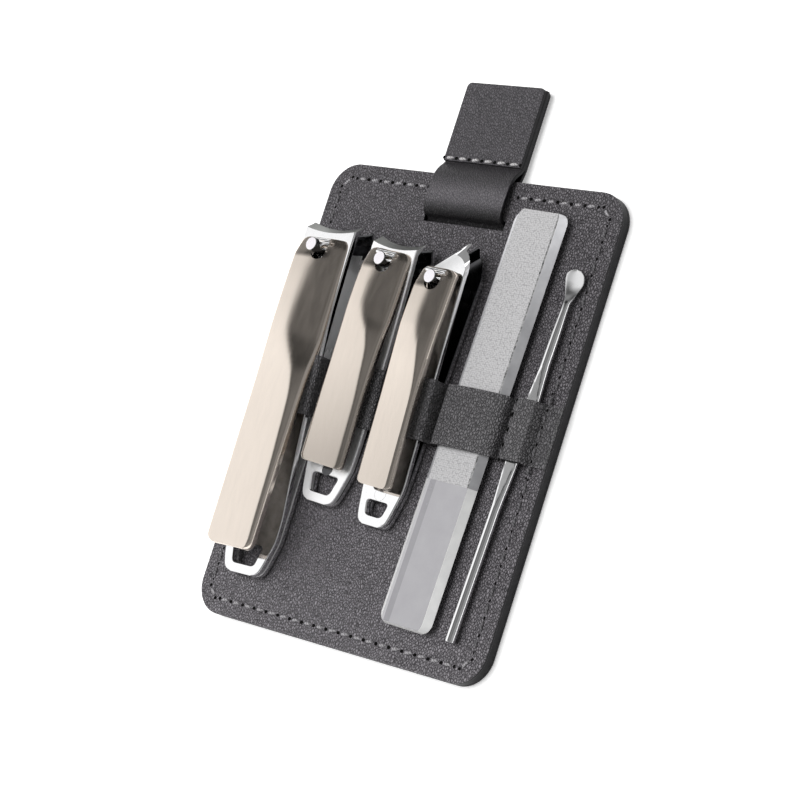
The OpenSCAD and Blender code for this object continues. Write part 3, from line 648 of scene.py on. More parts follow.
def build_band():
    ends = (-BAND_W / 2, BAND_W / 2)
    spans = [(c, c["width"] / 2, [0.2 + top_of(c, y - c["tail"]) + 0.2 for y in ends], 0.3)
             for c in CLIPPERS.values()]
    spans += [(FILE, FILE["half"], [3.0, 3.0], 0.3), (PICK, PICK["half"], [2.6, 2.6], 1.0)]
    rows = 14
    half_t = BAND_T / 2
    rings = []
    for r in range(rows + 1):
        share = r / rows
        y = -BAND_W / 2 + BAND_W * r / rows
        path = [(-CARD_W / 2 + 0.05, half_t)]
        for tool, half, heights, foot in spans:
            x = tool["x"]
            angle = radians(abs(tool["turn"]))
            side = half * cos(angle) + BAND_W / 2 * sin(angle) + 0.2 + half_t
            top = mix(heights[0], heights[1], share) + half_t
            crown, fall = (0.6, 1.0) if tool is FILE else (0.12, 0.0)
            path += [
                (x - side - foot - 0.35, half_t), (x - side - foot, half_t + 0.05),
                (x - side - 0.02, top - 0.65), (x - side + 0.22, top - 0.14), (x - side + 0.75, top),
                (x - side * 0.55, top + crown * 0.7), (x - side * 0.2, top + crown),
                (x + side * 0.05, top + crown * 0.95), (x + side * 0.4, top + crown * 0.5),
                (x + side * 0.7, top - fall * 0.1), (x + side - 0.75, top - fall * 0.7),
                (x + side - 0.22, top - 0.14 - fall), (x + side + 0.02, top - 0.65 - fall),
                (x + side + foot, half_t + 0.05), (x + side + foot + 0.35, half_t),
            ]
        path.append((CARD_W / 2 - 0.05, half_t))
        upper, lower = [], []
        for x, z, nx, nz in normals_along(smooth_path(path)):
            upper.append((x + nx * half_t, y, CARD_TOP + z + nz * half_t))
            lower.append((x - nx * half_t, y, CARD_TOP + z - nz * half_t))
        rings.append(upper + lower[::-1])
    band = loft("holder_band_leather", rings, BAND_LEATHER, pair=len(rings[0]) - 1)
    edge = band.modifiers.new("edge", "BEVEL")
    edge.width = 0.16 * MM
    edge.segments = 2
    edge.limit_method = "ANGLE"
    edge.angle_limit = radians(50)
    bake(band)
    shade(band, 60)
    paint_edges(band, EDGE_PAINT, 1, 0.6, True)
    finish_piece(band, "card", ["holder_band"])


# Strap and tab

def strap_line():
    slot_y = 41.7
    middle = 0.9 + 0.6
    crest = 3.0 + 2.0 - 0.45
    top = 52.5
    line = [
        (slot_y - 13.9, middle), (slot_y - 0.9, middle), (slot_y + 0.5, middle + 0.15),
        (slot_y + 1.25, middle + 0.7), (slot_y + 1.5, 2.9), (slot_y + 1.65, 3.6),
        (slot_y + 2.1, crest - 0.45), (slot_y + 3.0, crest - 0.12), (slot_y + 4.4, crest),
        (slot_y + 6.4, crest), (top - 2.2, crest - 0.1), (top - 0.2, crest - 0.4),
        (top + 1.2, crest - 1.2), (top + 2.3, 2.35), (top + 3.0, 1.95), (top + 20.9, 1.95),
    ]
    return smooth_path(line)


def sheet_along(name, line, width, thick, *materials):
    """A strip of the given width that follows a line in the Y and Z directions."""
    w = width / 2
    t = thick / 2
    edge = 0.2
    nick = 0.06
    outline = (
        (-w + edge, t), (-w / 2, t), (0, t), (w / 2, t), (w - edge, t), (w - nick, t - nick),
        (w, t - edge), (w, -t + edge), (w - nick, -t + nick), (w - edge, -t), (0, -t), (-w + edge, -t),
        (-w + nick, -t + nick), (-w, -t + edge), (-w, t - edge), (-w + nick, t - nick),
    )
    rings = [[(x, y + ny * d, z + nz * d) for x, d in outline] for y, z, ny, nz in normals_along(line)]
    return loft(name, rings, *materials)


def build_tab():
    strap = sheet_along("pull_strap_leather", strap_line(), 22.0, 0.9, STRAP_LEATHER)
    shade(strap, 50)
    paint_edges(strap, EDGE_PAINT, 0, 0.6, True)
    half = 10.9
    r = 1.2
    outline = [(-half, 55.5), (half, 55.5)]
    outline += arc(half - r, 73.7 - r, r, r, 0, 8) + arc(-half + r, 73.7 - r, r, r, 90, 8)
    leather_layer("tab_front", [outline], 2.4, 3.3, 0.22, TAB_LEATHER, "tab", "tab_front_layer")
    leather_layer("tab_back", [outline], 0.6, 1.5, 0.22, TAB_LEATHER, "tab", "tab_back_layer")
    inner = [(x * 1.002, 64.6 + (y - 64.6) * 0.999) for x, y in outline]
    core = plate("tab_core", [inner], 0.82, 3.08, 0.1, EDGE_PAINT)
    shade(core)
    finish_piece(core, "tab", ["tab_core_layer"])
    # The strap's lower layer, from the tab's back to the card's top edge, is near-black edge paint all
    # over: painted shade beneath the strap's arch.
    under_line = [(52.0, 1.5), (52.6, 1.5), (53.4, 1.35), (54.4, 1.15), (55.0, 1.06), (55.5, 1.05)]
    under = sheet_along("pull_strap_under_layer", smooth_path(under_line), 21.7, 0.84, EDGE_PAINT)
    shade(under, 50)
    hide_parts("pull_strap")
    for piece in (strap, under):
        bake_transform(piece)


# Clippers

def placed(c, x, s, z):
    a = radians(c["turn"])
    y = s + c["tail"]
    return (c["x"] + cos(a) * x - sin(a) * y, sin(a) * x + cos(a) * y, TOOL_Z + z)


def tail_half(c, s):
    w = c["width"] / 2
    return w * between(s, [(0.0, 0.42), (0.35, 0.58), (1.3, 0.72), (5.2, 0.89), (9.0, 1.0)])


def front_shift(c, x, s):
    """How far behind its nominal place a point near the jaw lies, across the arm."""
    w = c["width"] / 2
    if c["slant"]:
        reach = step_up(s, c["length"] - 13, c["length"] - 2.6) if s < c["length"] - 2.6 else 1.0
        slope = tan(radians(c["slant"]))
        return reach * (slope * (w - 1.6 - x) - 1.5)
    share = (s - (c["length"] - 9)) / 9
    return 1.2 * max(share, 0.0) ** 1.5 * (1 - (x / w) ** 2)


def arm_section(c, s, low, high):
    half = tail_half(c, s)
    edge = min(0.28, (high - low) * 0.45)
    flat = half - edge
    quarter = [radians(a) for a in (0, 22, 45, 68, 90)]
    corner = [(flat + edge * sin(a), edge - edge * cos(a)) for a in quarter]
    shares = [i / 4 for i in range(-4, 5)]
    ring = [(u * flat, high) for u in shares[:-1]] + [(x, high - d) for x, d in corner]
    ring += [(x, low + d) for x, d in corner[::-1]] + [(u * flat, low) for u in shares[-2:0:-1]]
    ring += [(-x, low + d) for x, d in corner] + [(-x, high - d) for x, d in corner[:0:-1]]
    return [placed(c, x, s - front_shift(c, x, s), z) for x, z in ring]


def arm_stations(c):
    length = c["length"]
    stations = [0.0, 0.15, 0.4, 0.8, 1.3, 2.0, 3.0, 4.2, 5.2, 6.5, 8.0, 9.0]
    stations += [9.0 + (length - 20.0) * i / 24 for i in range(1, 25)]
    stations += [length - 11 + 8.0 * i / 8 for i in range(1, 9)]
    stations += [length - d for d in (2.6, 2.3, 2.0, 1.8, 1.6, 1.3, 0.9, 0.5, 0.2, 0.0)]
    return stations


def arm_rings(c, upper):
    """Rings along an arm; outer and inner are its faces' depths below its outer side."""
    jaw = (c["height"] - c["mouth"]) / 2
    rings = []
    for s in arm_stations(c):
        back = c["length"] - s
        outer, inner = 0.0, c["sheet"]
        if back < 1.8 and not c["slant"]:
            outer = (jaw - 0.1) * (1 - back / 1.8)
        if back < 2.6:
            inner = mix(c["sheet"], jaw, min(1.0, (2.6 - back) / 1.9))
        top = top_of(c, s)
        low, high = (top - inner, top - outer) if upper else (outer, inner)
        rings.append(arm_section(c, s, low, high))
    return rings


# Plan of the small clipper's jaw: at its cutting edge, and at its outer face
JAW_EDGE = [
    (-9.0, -3.0), (9.0, -3.0), (9.0, 52.0), (6.4, 54.4), (5.65, 56.2), (5.42, 57.6), (5.17, 58.7),
    (4.85, 60.0), (4.45, 61.2), (4.0, 62.15), (3.3, 62.55), (2.3, 62.35), (-0.47, 60.0), (-3.6, 57.35),
    (-9.0, 52.8),
]
JAW_FACE = [
    (-9.0, -3.0), (9.0, -3.0), (9.0, 50.0), (6.2, 53.2), (5.72, 54.5), (5.6, 55.4), (5.3, 56.5),
    (4.75, 57.4), (4.05, 58.1), (3.3, 58.6), (2.45, 59.0), (1.68, 59.25), (-1.2, 56.9), (-4.2, 54.45),
    (-9.0, 50.55),
]


def jaw_trimmer(c, upper):
    """The room that the small clipper's pointed jaw fills, with its ground faces."""
    jaw = (c["height"] - c["mouth"]) / 2
    rings = []
    for depth, share in ((-1.0, 1 + 1.0 / jaw), (0.0, 1.0), (jaw, 0.0), (c["height"] + 1.0, 0.0)):
        z = c["height"] - depth if upper else depth
        rings.append([placed(c, mix(a[0], b[0], share), mix(a[1], b[1], share), z)
                      for a, b in zip(JAW_EDGE, JAW_FACE)])
    return loft("jaw_trimmer", rings)


def hole_cutter(c, low, high):
    """The tapered hole with round corners near the tail of an arm."""
    w = c["hole"] / 2
    start = 2.1
    end = start + 0.52 * c["hole"]
    middle = Vector((0.0, (start + end) / 2))
    flare = 0.35
    corners = [Vector(p) for p in ((-0.72 * w, start), (0.72 * w, start), (w, end), (-w, end))]
    rings = []
    for z, grow in ((low - 0.5, flare + 0.5), (low + flare * 0.5, 0.0), (high - flare * 0.6, 0.0),
                    (high + 0.5, flare + 0.45)):
        ring = []
        for i, corner in enumerate(corners):
            a = corner + (corners[i - 1] - corner).normalized()
            b = corner + (corners[(i + 1) % 4] - corner).normalized()
            for k in range(5):
                share = k / 4
                point = a * (1 - share) ** 2 + corner * 2 * share * (1 - share) + b * share ** 2
                point += (point - middle).normalized() * grow
                ring.append(placed(c, point.x, point.y, z))
        rings.append(ring)
    return loft("hole_cutter", rings)


def circle(c, s, radius, z, count):
    """A level circle of points round the upright axis at s."""
    return [placed(c, radius * cos(a), s + radius * sin(a), z) for a in turns(count)]


def round_cutter(c, s, radius, low, high, flare):
    """A round hole that widens by flare at both ends."""
    steps = ((low - 0.5, flare + 0.5), (low + flare, 0.0), (high - flare, 0.0), (high + 0.5, flare + 0.5))
    return loft("round_cutter", [circle(c, s, radius + grow, z, 32) for z, grow in steps])


def finish_faces(obj, c, upper):
    """Gives the jaw's slanted faces a ground finish, darkened as painted shade, and the inside of an arm a
    duller one back from the large clipper's jaw, or near-black steel as painted shade near its jaw and all
    along the other clippers.
    """
    obj.data.materials.append(GROUND_SHADED_STEEL)
    obj.data.materials.append(INNER_STEEL)
    obj.data.materials.append(SHADED_STEEL)
    for face in obj.data.polygons:
        facing = face.normal.z if upper else -face.normal.z
        if face.normal.y > 0.5 and 0.35 < facing < 0.92 and not c["slant"]:
            face.material_index = 1
        if facing < -0.5:
            behind = c["length"] + c["tail"] - face.center.y / MM
            face.material_index = 2 if c["length"] > 70 and behind > 5.5 else 3


def build_arms(name, c):
    t = c["sheet"]
    rivet_s = c["flat"] - 3
    pin_s = c["pin_s"]
    high = top_of(c, pin_s)
    # The medium clipper's upper arm takes the white steel, a painted reflection, and its rivet the
    # near-black steel, painted shade.
    top_steel, rivet_steel = (STEEL_PAINTED_WHITE, SHADED_STEEL) if name == "medium" else (STEEL, STEEL)
    for side, body, low, steel, holes in (
        ("lower", "_clipper", 0.0, STEEL, (
            (rivet_s, 1.65, 0.0, t, 0.05), (pin_s, 1.55, 0.0, t, 0.05), (pin_s, 2.45, -1.0, 0.55, 0.0),
        )),
        ("upper", "_jaw", t, top_steel, (
            (rivet_s, 1.5, t, 2 * t, 0.05), (pin_s, 1.9, high - t, high, 0.2),
        )),
    ):
        upper = side == "upper"
        arm = loft(f"{name}_{side}_plate", arm_rings(c, upper), steel, pair=25)
        if c["slant"]:
            cut(arm, [jaw_trimmer(c, upper)], "INTERSECT")
        cut(arm, [hole_cutter(c, low, low + t)] + [round_cutter(c, *hole) for hole in holes])
        shade(arm)
        finish_faces(arm, c, upper)
        finish_piece(arm, name + body, [f"{name}_{side}_arm"])
    recolour(name + "_tail_rivet", rivet_steel)


def build_pin(name, c):
    top = c["pin_top"]
    profile = [(0.9, 0.0), (2.25, 0.0), (2.4, 0.12), (2.4, 0.38), (2.25, 0.5), (1.5, 0.52),
               (1.5, c["pivot"] - 1.0), (1.5, top - 0.16), (1.45, top - 0.05), (1.36, top)]
    rings = [circle(c, c["pin_s"], radius, z, 40) for radius, z in profile]
    pin = loft(name + "_pin_post", rings, STEEL, PIN_TOP, SHADED_STEEL)
    # The pin's shaft above the arms takes the near-black steel, as painted shade.
    for face in pin.data.polygons:
        if abs(face.normal.z) < 0.5 and face.center.z > (TOOL_Z + c["height"]) * MM:
            face.material_index = 2
        if face.normal.z > 0.9 and face.center.z > (TOOL_Z + top - 0.1) * MM:
            face.material_index = 1
    cut(pin, [notch_cutter(c)])
    shade(pin)
    finish_piece(pin, name + "_pin", [name + "_pin"])


def notch_cutter(c):
    """The notch in a pin's front, which its lever's bar and thin front lip turn in."""
    radius = c["notch"]
    outline = [(1.0, -radius)]
    for a in map(radians, range(270, 144, -5)):
        outline.append((radius * cos(a), radius * sin(a)))
    a = radians(127)
    outline += [(0.8 * radius * cos(a), 0.8 * radius * sin(a)), (1.0, 0.85)]
    rings = [[placed(c, x, c["pin_s"] + PIN_REACH + s, c["pivot"] + z) for s, z in outline]
             for x in (-6, 6)]
    return loft("notch_cutter", rings)


# Where a lever's bright flat top ends, as a share of its width from the left, how wide
# the step beside it is, and how steep its dark side is, at places along the lever
SHORT_LEVER = dict(
    side=[(0.0, 24.0), (0.4, 22.0), (0.6, 18.0), (0.75, 13.0), (1.0, 12.0)],
    end_drop=0.4, end_round=1.2, bow=0.5,
)
SHORT_BLUR = [(0.5, 0.08), (0.62, 0.12), (0.72, 0.24), (0.85, 0.34), (1.0, 0.4)]
LEVER_FORM = {
    "large": dict(
        crease=[(0.0, 0.96), (0.08, 0.94), (0.24, 0.925), (0.37, 0.89), (0.48, 0.85), (0.57, 0.74),
                (0.63, 0.56), (0.70, 0.36), (0.78, 0.32), (1.0, 0.35)],
        blur=[(0.0, 0.05), (0.5, 0.08), (0.62, 0.14), (0.72, 0.26), (0.85, 0.38), (1.0, 0.44)],
        side=[(0.0, 30.0), (0.4, 26.0), (0.6, 18.0), (0.75, 13.0), (1.0, 12.0)],
        left=[(0.0, -5.0), (1.0, -5.0)], flat=[(0.0, 0.5), (1.0, 0.5)],
        end_drop=2.6, end_round=2.2, flange=[(0.0, 3.0), (0.5, 2.4), (1.0, 2.2)], bow=0.8,
    ),
    "medium": dict(
        SHORT_LEVER, blur=[(0.0, 0.08)] + SHORT_BLUR,
        crease=[(0.0, 0.91), (0.13, 0.90), (0.29, 0.89), (0.43, 0.84), (0.53, 0.79), (0.62, 0.66),
                (0.70, 0.42), (0.76, 0.33), (0.85, 0.31), (1.0, 0.33)],
        left=[(0.0, 1.5), (0.25, -0.5), (0.5, -4.0), (1.0, -5.0)],
        flat=[(0.0, 3.6), (0.25, 3.0), (0.5, 1.5), (0.8, 0.5), (1.0, 0.5)],
        flange=[(0.0, 0.95), (0.2, 1.3), (0.5, 2.2), (1.0, 2.2)],
    ),
    "small": dict(
        SHORT_LEVER, blur=[(0.0, 0.06)] + SHORT_BLUR,
        crease=[(0.0, 0.95), (0.2, 0.95), (0.34, 0.93), (0.47, 0.88), (0.56, 0.80), (0.64, 0.69),
                (0.71, 0.53), (0.80, 0.43), (0.9, 0.43), (1.0, 0.46)],
        left=[(0.0, -2.0), (0.5, -5.0), (1.0, -5.0)], flat=[(0.0, 1.8), (0.3, 0.8), (1.0, 0.5)],
        flange=[(0.0, 0.95), (0.2, 1.2), (0.5, 2.0), (1.0, 2.2)],
    ),
}
LEVER_SHEET = 0.9
SLOT_HALF = 1.85
END_CURVE = 1.6
LEVER_COLUMNS = (12, 6, 12)


def lever_line(c, form, s):
    """Height of the middle of a lever's top above its tools' rest, at s."""
    behind = c["pin_s"] + PIN_REACH - s
    z = c["pivot"] + 0.75 - tan(radians(c["slope"])) * min(behind, 12.5)
    z -= form["bow"] * max(1 - behind / 20.0, 0.0) ** 2
    if behind > 12.5:
        z -= tan(radians(c["end_slope"])) * (behind - 12.5)
    return z


def front_dip(c, x, s):
    """How far a lever's top dips round its pin, towards the front."""
    start = c["pin_s"] + mix(-1.8, 0.9, step_up(x, -0.5, 3.5))
    blend = 0.8
    past = s - start
    if past <= -blend:
        return 0.0
    steep = tan(radians(mix(16.0, 13.0, step_up(x, -2.0, 2.0))))
    if past < blend:
        return steep * (past + blend) ** 2 / (4.0 * blend)
    return steep * past


def slot_half(s, slot_s):
    """Half the width of the slot that a lever's pin stands in, with a round end at slot_s."""
    past = s - slot_s
    if past <= 0:
        return mix(SLOT_HALF, 0.3, step_up(s, slot_s - 3.0, slot_s))
    share = 1 - min(past / SLOT_HALF, 1.0)
    return max(0.3, SLOT_HALF * sqrt(1 - share * share))


def lever_row(c, form, s, back, front, slot_s):
    """Points across a lever's top and down its flanges at s."""
    f = (s - back) / (front - back)
    w = c["lever_w"] / 2
    r = 1.3
    for room, corner in ((s - back, form["end_round"]), (front - s, 1.3)):
        if room < corner:
            w -= corner - sqrt(max(corner ** 2 - (corner - room) ** 2, 0.0))
    crease = between(f, form["crease"])
    blur = between(f, form["blur"])
    side = between(f, form["side"])
    left_tilt = -between(f, form["left"])
    flat_tilt = between(f, form["flat"])
    inner_left = -w + r * (1 - sin(radians(left_tilt)))
    inner_right = w - r * (1 - sin(radians(side)))
    half = slot_half(s, slot_s)
    marks = (inner_left, -half, half, inner_right)
    xs = [inner_left]
    for number, a, b in zip(LEVER_COLUMNS, marks, marks[1:]):
        xs.extend(mix(a, b, (j + 1) / number) for j in range(number))

    def tilt_at(x):
        u = (x + w) / (2 * w)
        tilt = mix(-left_tilt, flat_tilt, min(1.0, max(u, 0.0) / crease))
        return mix(tilt, side, step_up(u, crease - blur * 0.35, crease + blur * 0.65))

    heights = [0.0]
    for j in range(1, len(xs)):
        middle = (tilt_at(xs[j]) + tilt_at(xs[j - 1])) / 2
        heights.append(heights[-1] - tan(radians(middle)) * (xs[j] - xs[j - 1]))
    top = lever_line(c, form, s)
    if s - back < END_CURVE:
        past = 1 - (s - back) / END_CURVE
        top -= form["end_drop"] * 0.3 * (1 - sqrt(max(1 - past ** 2, 0.0)))
    highest = max(heights)
    row = [(x, top + z - highest - front_dip(c, x, s)) for x, z in zip(xs, heights)]
    low = top - between(f, form["flange"])
    if c["length"] > 70 and s < 49.5:
        low = max(low, 8.1)
    edges = []
    for outward, tilt, (x, z) in ((-r, left_tilt, row[0]), (r, side, row[-1])):
        start = radians(tilt)
        edge = []
        for k in range(1, 8):
            a = radians(mix(tilt, 90.0, k / 7))
            edge.append((x + outward * (sin(a) - sin(start)),
                         z - r * (cos(start) - cos(a))))
        x, z = edge[-1]
        edge += [(x, mix(z, min(low, z - 0.1), k / 3)) for k in range(1, 4)]
        edges.append(edge)
    left, right = edges
    return left[::-1] + row + right


def build_lever(name, c):
    form = LEVER_FORM[name]
    pivot_s = c["pin_s"] + PIN_REACH
    front = pivot_s + 0.9
    back = c["lever_end"]
    slot_s = pivot_s - 4.3
    stations = [back + d for d in (0.0, 0.05, 0.15, 0.3, 0.5, 0.75, 1.0, 1.4, 2.0)]
    stations += [back + 2.0 + (slot_s - back - 2.0) * i / 54 for i in range(1, 55)]
    stations += [slot_s + d for d in (0.03, 0.1, 0.25, 0.45, 0.75, 1.1, 1.5, 1.9, 2.3, 2.7, 3.1)]
    stations += [front - d for d in (1.9, 1.6, 1.2, 0.9, 0.6, 0.4, 0.2, 0.1, 0.0)]
    rows = [lever_row(c, form, s, back, front, slot_s) for s in stations]
    slot_columns = range(7 + 3 + LEVER_COLUMNS[0], 7 + 3 + sum(LEVER_COLUMNS[:2]))
    across = len(rows[0])
    points = [placed(c, x, s, z) for s, row in zip(stations, rows) for x, z in row]
    faces = []
    for i in range(len(rows) - 1):
        for j in range(across - 1):
            in_slot = slot_s - 0.01 < stations[i] and stations[i + 1] < pivot_s + 0.35
            if in_slot and j in slot_columns:
                continue
            k = i * across + j
            faces.append((k, k + 1, k + across + 1, k + across))
    lever = mesh_of(name + "_lever_sheet", points, faces, CHAMPAGNE[name], UNDERSIDE_SHADE_PLATE, SHADED_PLATE)
    up = sum(1 for face in lever.data.polygons if face.normal.z > 0)
    if up < len(lever.data.polygons) / 2:
        lever.data.flip_normals()
    solid = lever.modifiers.new("sheet", "SOLIDIFY")
    solid.thickness = LEVER_SHEET * MM
    solid.offset = -1
    # The sheet's underside takes the near-black plate, as painted shade.
    solid.material_offset = 1
    solid.use_even_offset = True
    bake(lever)
    # The lip in front of the pin is thinner underneath, to turn in the pin's notch
    for i, s in enumerate(stations):
        for j in range(across) if s > pivot_s + 0.25 else ():
            outer = lever.data.vertices[i * across + j]
            inner = lever.data.vertices[len(points) + i * across + j]
            keep = mix(LIP_SHARE, 1.0, step_up(abs(rows[i][j][0]), 1.6, 3.0))
            inner.co = outer.co.lerp(inner.co, keep)
    shade(lever, 40)
    # The medium and small levers' upright flanks take the darker plate, as painted shade.
    for face in lever.data.polygons:
        if face.material_index == 0 and abs(face.normal.x) > 0.9 and name != "large":
            face.material_index = 2
    finish_piece(lever, name + "_lever", [name + "_lever"])
    middle = c["pivot"] - 0.3
    rings = [[placed(c, x, pivot_s + radius * cos(a), middle + radius * sin(a))
              for a in turns(24)] for x, radius in ((-2.8, 0.4), (-2.7, 0.5), (2.7, 0.5), (2.8, 0.4))]
    bar = loft(name + "_lever_bar", rings, STEEL)
    shade(bar)
    finish_piece(bar, name + "_lever")


# File and ear pick

def build_file():
    w = FILE["half"]
    length = 91.0
    thick = 2.6
    bevel = 1.6
    etched_s = 31.0
    rim_x = -4.8
    shade_x = -3.2

    def outline(inset):
        """The file's outline, drawn in by inset at each of its rounded corners."""
        points = []
        for cx, cy, r, share, start in (
            (-w + 2.4, 2.4, 2.4, 0.25, 180), (w - 2.4, 2.4, 2.4, 0.25, 270),
            (w - 2.2, length - 2.2, 2.2, 0.15, 0), (-w + 3.0, length - 3.0, 3.0, 0.15, 90),
        ):
            points += arc(cx, cy, r - inset, r - inset * share, start, 8)
        return points

    stack = [(bevel, 0.0), (0.12, thick / 2 - 0.12), (0.0, thick / 2), (0.12, thick / 2 + 0.12),
             (bevel - 0.1, thick - 0.06), (bevel, thick), (bevel + 0.4, thick)]
    rings = [[placed(FILE, x, s, z) for x, s in outline(inset)] for inset, z in stack]
    glass = loft("glass_file_body", rings, BEVEL_GLASS, ETCHED, HANDLE_GLASS, HANDLE_EDGE, DOTS,
                 HANDLE_SHADE, HANDLE_RIM_HIGHLIGHT)
    top_face = max(glass.data.polygons, key=lambda face: (round(face.center.z, 5), face.area))
    low_face = min(glass.data.polygons, key=lambda face: (round(face.center.z, 5), -face.area))
    high = top_face.center.z - 0.00001
    for face in glass.data.polygons:
        if face.center.z > high:
            face.material_index = 4 if face.normal.z > 0.9 and face.center.x > 0.0255 else 2
    top_face.material_index = 2
    low_face.material_index = 2
    angle = radians(FILE["turn"])
    along = Vector((-sin(angle), cos(angle), 0))
    beside = Vector((cos(angle), sin(angle), 0))
    work = bmesh.new()
    work.from_mesh(glass.data)
    for x, s, normal in ((0, etched_s, along), (0, etched_s - 0.4, along), (rim_x, 0, beside),
                         (shade_x, 0, beside)):
        bmesh.ops.bisect_plane(work, geom=work.verts[:] + work.edges[:] + work.faces[:],
                               plane_co=Vector(placed(FILE, x, s, 0)) * MM, plane_no=normal)
    for face in work.faces:
        centre = face.calc_center_median() / MM
        etched = centre.y - FILE["tail"] > etched_s
        across = (centre.x - FILE["x"]) * cos(angle) + centre.y * sin(angle)
        # Near the handle's left rim, strips of its top take the painted highlight and the painted shade.
        if face.material_index == 2:
            handle = 6 if across < rim_x else 5 if across < shade_x else 2
            face.material_index = 1 if etched else handle
        elif not etched:
            face.material_index = 2 if face.normal.z > 0.9 else 3
    work.to_mesh(glass.data)
    work.free()
    shade(glass, 20)
    finish_piece(glass, "file", ["glass_file"])


def build_pick():
    rod = 1.1
    neck = 72.5
    tip = 79.9
    grip_s = 28.3
    taper = 10.1
    stations = [0.0, 0.12, 0.4, 5, 12, 20, 26] + [grip_s + taper * i / 12 for i in range(13)]
    stations += [44.9] + [51.4 + 7.6 * i / 12 for i in range(13)] + [62, 66, 69, 71]
    stations += [neck + (tip - neck) * share for share in
                 (0, 0.08, 0.16, 0.24, 0.32, 0.4, 0.5, 0.6, 0.68, 0.76, 0.83, 0.88, 0.93, 0.96, 0.985, 1.0)]
    lean = radians(-5.5)
    rings = []
    for s in stations:
        grip = max(min((s - grip_s) / taper, (59.0 - s) / 7.6, 1.0), 0.0)
        flat = mix(rod, 0.6, grip)
        wide = mix(rod, PICK["half"], grip)
        thin = 1 - 0.25 * step_up(s, 64, neck)
        end = 0.75 if s < 0.05 else (0.93 if s < 0.2 else 1.0)
        blade = max((s - neck) / (tip - neck), 0.0)
        bowl = step_up(blade, 0.0, 0.4)
        across = between(blade, [(0.0, 0.82), (0.25, 1.3), (0.5, 2.05), (0.68, 2.45), (0.8, 2.4),
                                 (0.9, 1.95), (0.97, 1.1), (1.0, 0.2)])
        lift = between(blade, [(0.0, 0.0), (0.3, -0.45), (0.55, -0.6), (0.8, -0.15), (1.0, 0.2)])
        ring = []
        for a in (start + pi / 32 for start in turns(32)):
            x = cos(a) * wide * thin * end
            z = min(max(sin(a) * rod, -flat), flat) * thin * end
            if grip > 0:
                x, z = x * cos(lean) - z * sin(lean), x * sin(lean) + z * cos(lean)
            if blade > 0:
                x = cos(a) * across
                z = sin(a) * mix(0.82, 0.24, bowl) + lift + 0.35 * bowl * cos(a) ** 2
            ring.append(placed(PICK, x, s, rod + z))
        rings.append(ring)
    pick = loft("ear_pick_rod", rings, STEEL, SPOON_STEEL)
    for face in pick.data.polygons:
        if face.center.y > (neck + 0.8 + PICK["tail"]) * MM:
            face.material_index = 1
    shade(pick, 28)
    finish_piece(pick, "pick", ["ear_pick"])


# Room

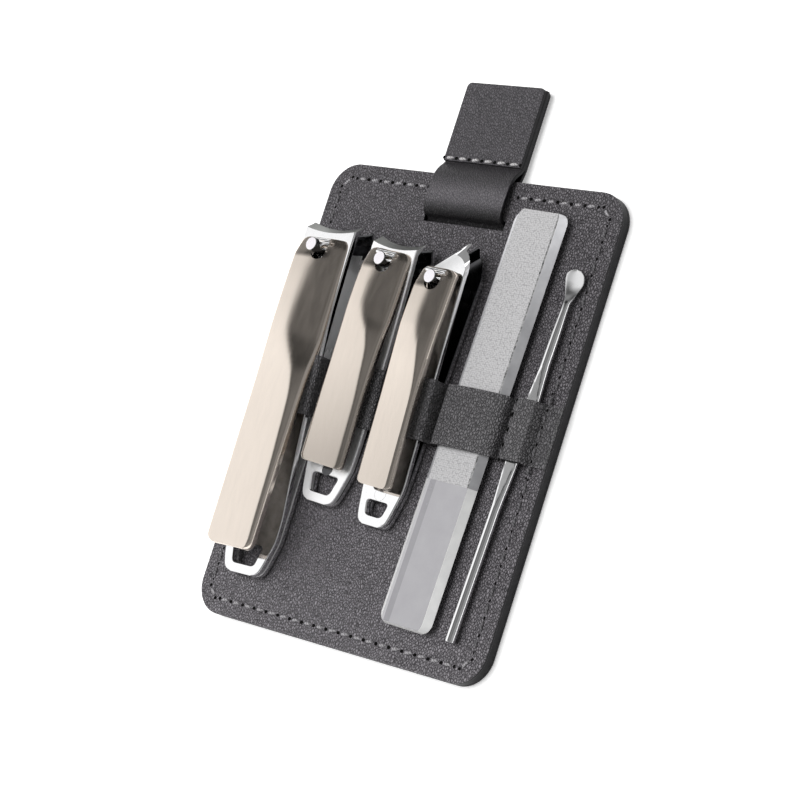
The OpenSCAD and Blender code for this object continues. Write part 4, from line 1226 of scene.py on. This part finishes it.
def build_room():
    size = 9.0
    low = -0.00005
    floor_mesh = bpy.data.meshes.new("floor")
    corners = [(-size, -size, low), (size, -size, low), (size, size, low), (-size, size, low)]
    floor_mesh.from_pydata(corners, [], [(0, 1, 2, 3)])
    made, tree, shader = new_material("floor_white")
    vector = coordinates(tree)
    rays = tree.nodes.new("ShaderNodeLightPath").outputs
    seen = rays["Is Camera Ray"]
    for ray in ("Is Glossy Ray", "Is Transmission Ray"):
        seen = calculate(tree, "MAXIMUM", seen, rays[ray])
    away = add_node(tree, "VectorMath", {0: vector}, "Value", operation="LENGTH")
    glow = soft_range(tree, away, 0.3, 1.5, 0.35, 1.0)
    give(tree, shader, {
        "Base Color": ramp(tree, noise_texture(tree, vector, 3.0), [(0.3, 0.9), (0.7, 0.93)]),
        "Roughness": 0.9, "Emission Color": (1, 1, 1, 1),
        "Emission Strength": calculate(tree, "MULTIPLY", seen, glow),
    })
    add_object("floor", floor_mesh, made)

    world = bpy.data.worlds.new("studio")
    bpy.context.scene.world = world
    world.use_nodes = True
    tree = world.node_tree
    parts = tree.nodes.new("ShaderNodeSeparateXYZ")
    give(tree, parts, {0: add_node(tree, "TexCoord", {}, "Generated")})
    light = 0.035
    # How each patch of light joins the others, its strength, and from where to where it
    # reaches along its axes, with the softness of its edges
    for join, strength, windows in (
        ("ADD", 1.09, (("X", -2.0, -0.42, 0.13), ("Y", -0.8, 0.29, 0.17), ("Z", -0.2, 0.86, 0.09))),
        ("ADD", 0.12, (("X", -0.3, 0.72, 0.12), ("Y", -0.6, 0.30, 0.1))),
        ("ADD", 0.05, (("X", -0.1, 0.4, 0.12), ("Y", -0.6, 0.30, 0.1))),
        ("MAXIMUM", 0.3, (("Z", -0.4, 0.5, 0.1),)),
        ("MAXIMUM", 0.25, (("Y", -2.0, -0.5, 0.15), ("Z", -0.4, 0.85, 0.1))),
        ("MAXIMUM", 0.3, (("X", 0.05, 2.0, 0.12), ("Z", -0.4, 0.8, 0.08))),
        ("MAXIMUM", 0.3, (("Y", 0.68, 2.0, 0.1), ("Z", -0.4, 0.8, 0.08))),
    ):
        patch = strength
        for axis, near, far, soft in windows:
            up = soft_range(tree, parts.outputs[axis], near - soft, near + soft)
            down = soft_range(tree, parts.outputs[axis], far - soft, far + soft, 1.0, 0.0)
            patch = calculate(tree, "MULTIPLY", patch, calculate(tree, "MULTIPLY", up, down))
        light = calculate(tree, join, light, patch)
    give(tree, tree.nodes["Background"], {"Strength": light, "Color": (1, 1, 1, 1)})

    lamp = bpy.data.lights.new("key", "AREA")
    lamp.shape = "RECTANGLE"
    lamp.size = 0.9
    lamp.size_y = 0.9
    lamp.energy = 16
    lamp.specular_factor = 0.0
    key = add_object("key", lamp)
    key.location = (-0.3, 0.1, 1.1)
    key.visible_glossy = False
    direction = Vector((0, 0, 0)) - key.location
    key.rotation_euler = direction.to_track_quat("-Z", "Y").to_euler()


def build_camera():
    data = bpy.data.cameras.new("camera")
    data.lens = 112.5
    data.sensor_width = 36.0
    data.clip_start = 0.01
    data.clip_end = 20.0
    camera = add_object("camera", data)
    right = Vector((0.73168, 0.3034, -0.61041))
    up = Vector((-0.14613, 0.94448, 0.29429))
    back = Vector((0.66581, -0.12613, 0.73539))
    turn = Matrix((right, up, back)).transposed().to_4x4()
    camera.matrix_world = Matrix.Translation(Vector((351.304, -65.107, 392.853)) * MM) @ turn
    bpy.context.scene.camera = camera


build_card()
build_stitches()
build_band()
build_tab()
for clipper, sizes in CLIPPERS.items():
    build_arms(clipper, sizes)
    build_pin(clipper, sizes)
    build_lever(clipper, sizes)
build_file()
build_pick()
build_room()
build_camera()
bpy.context.scene.view_settings.view_transform = "Standard"
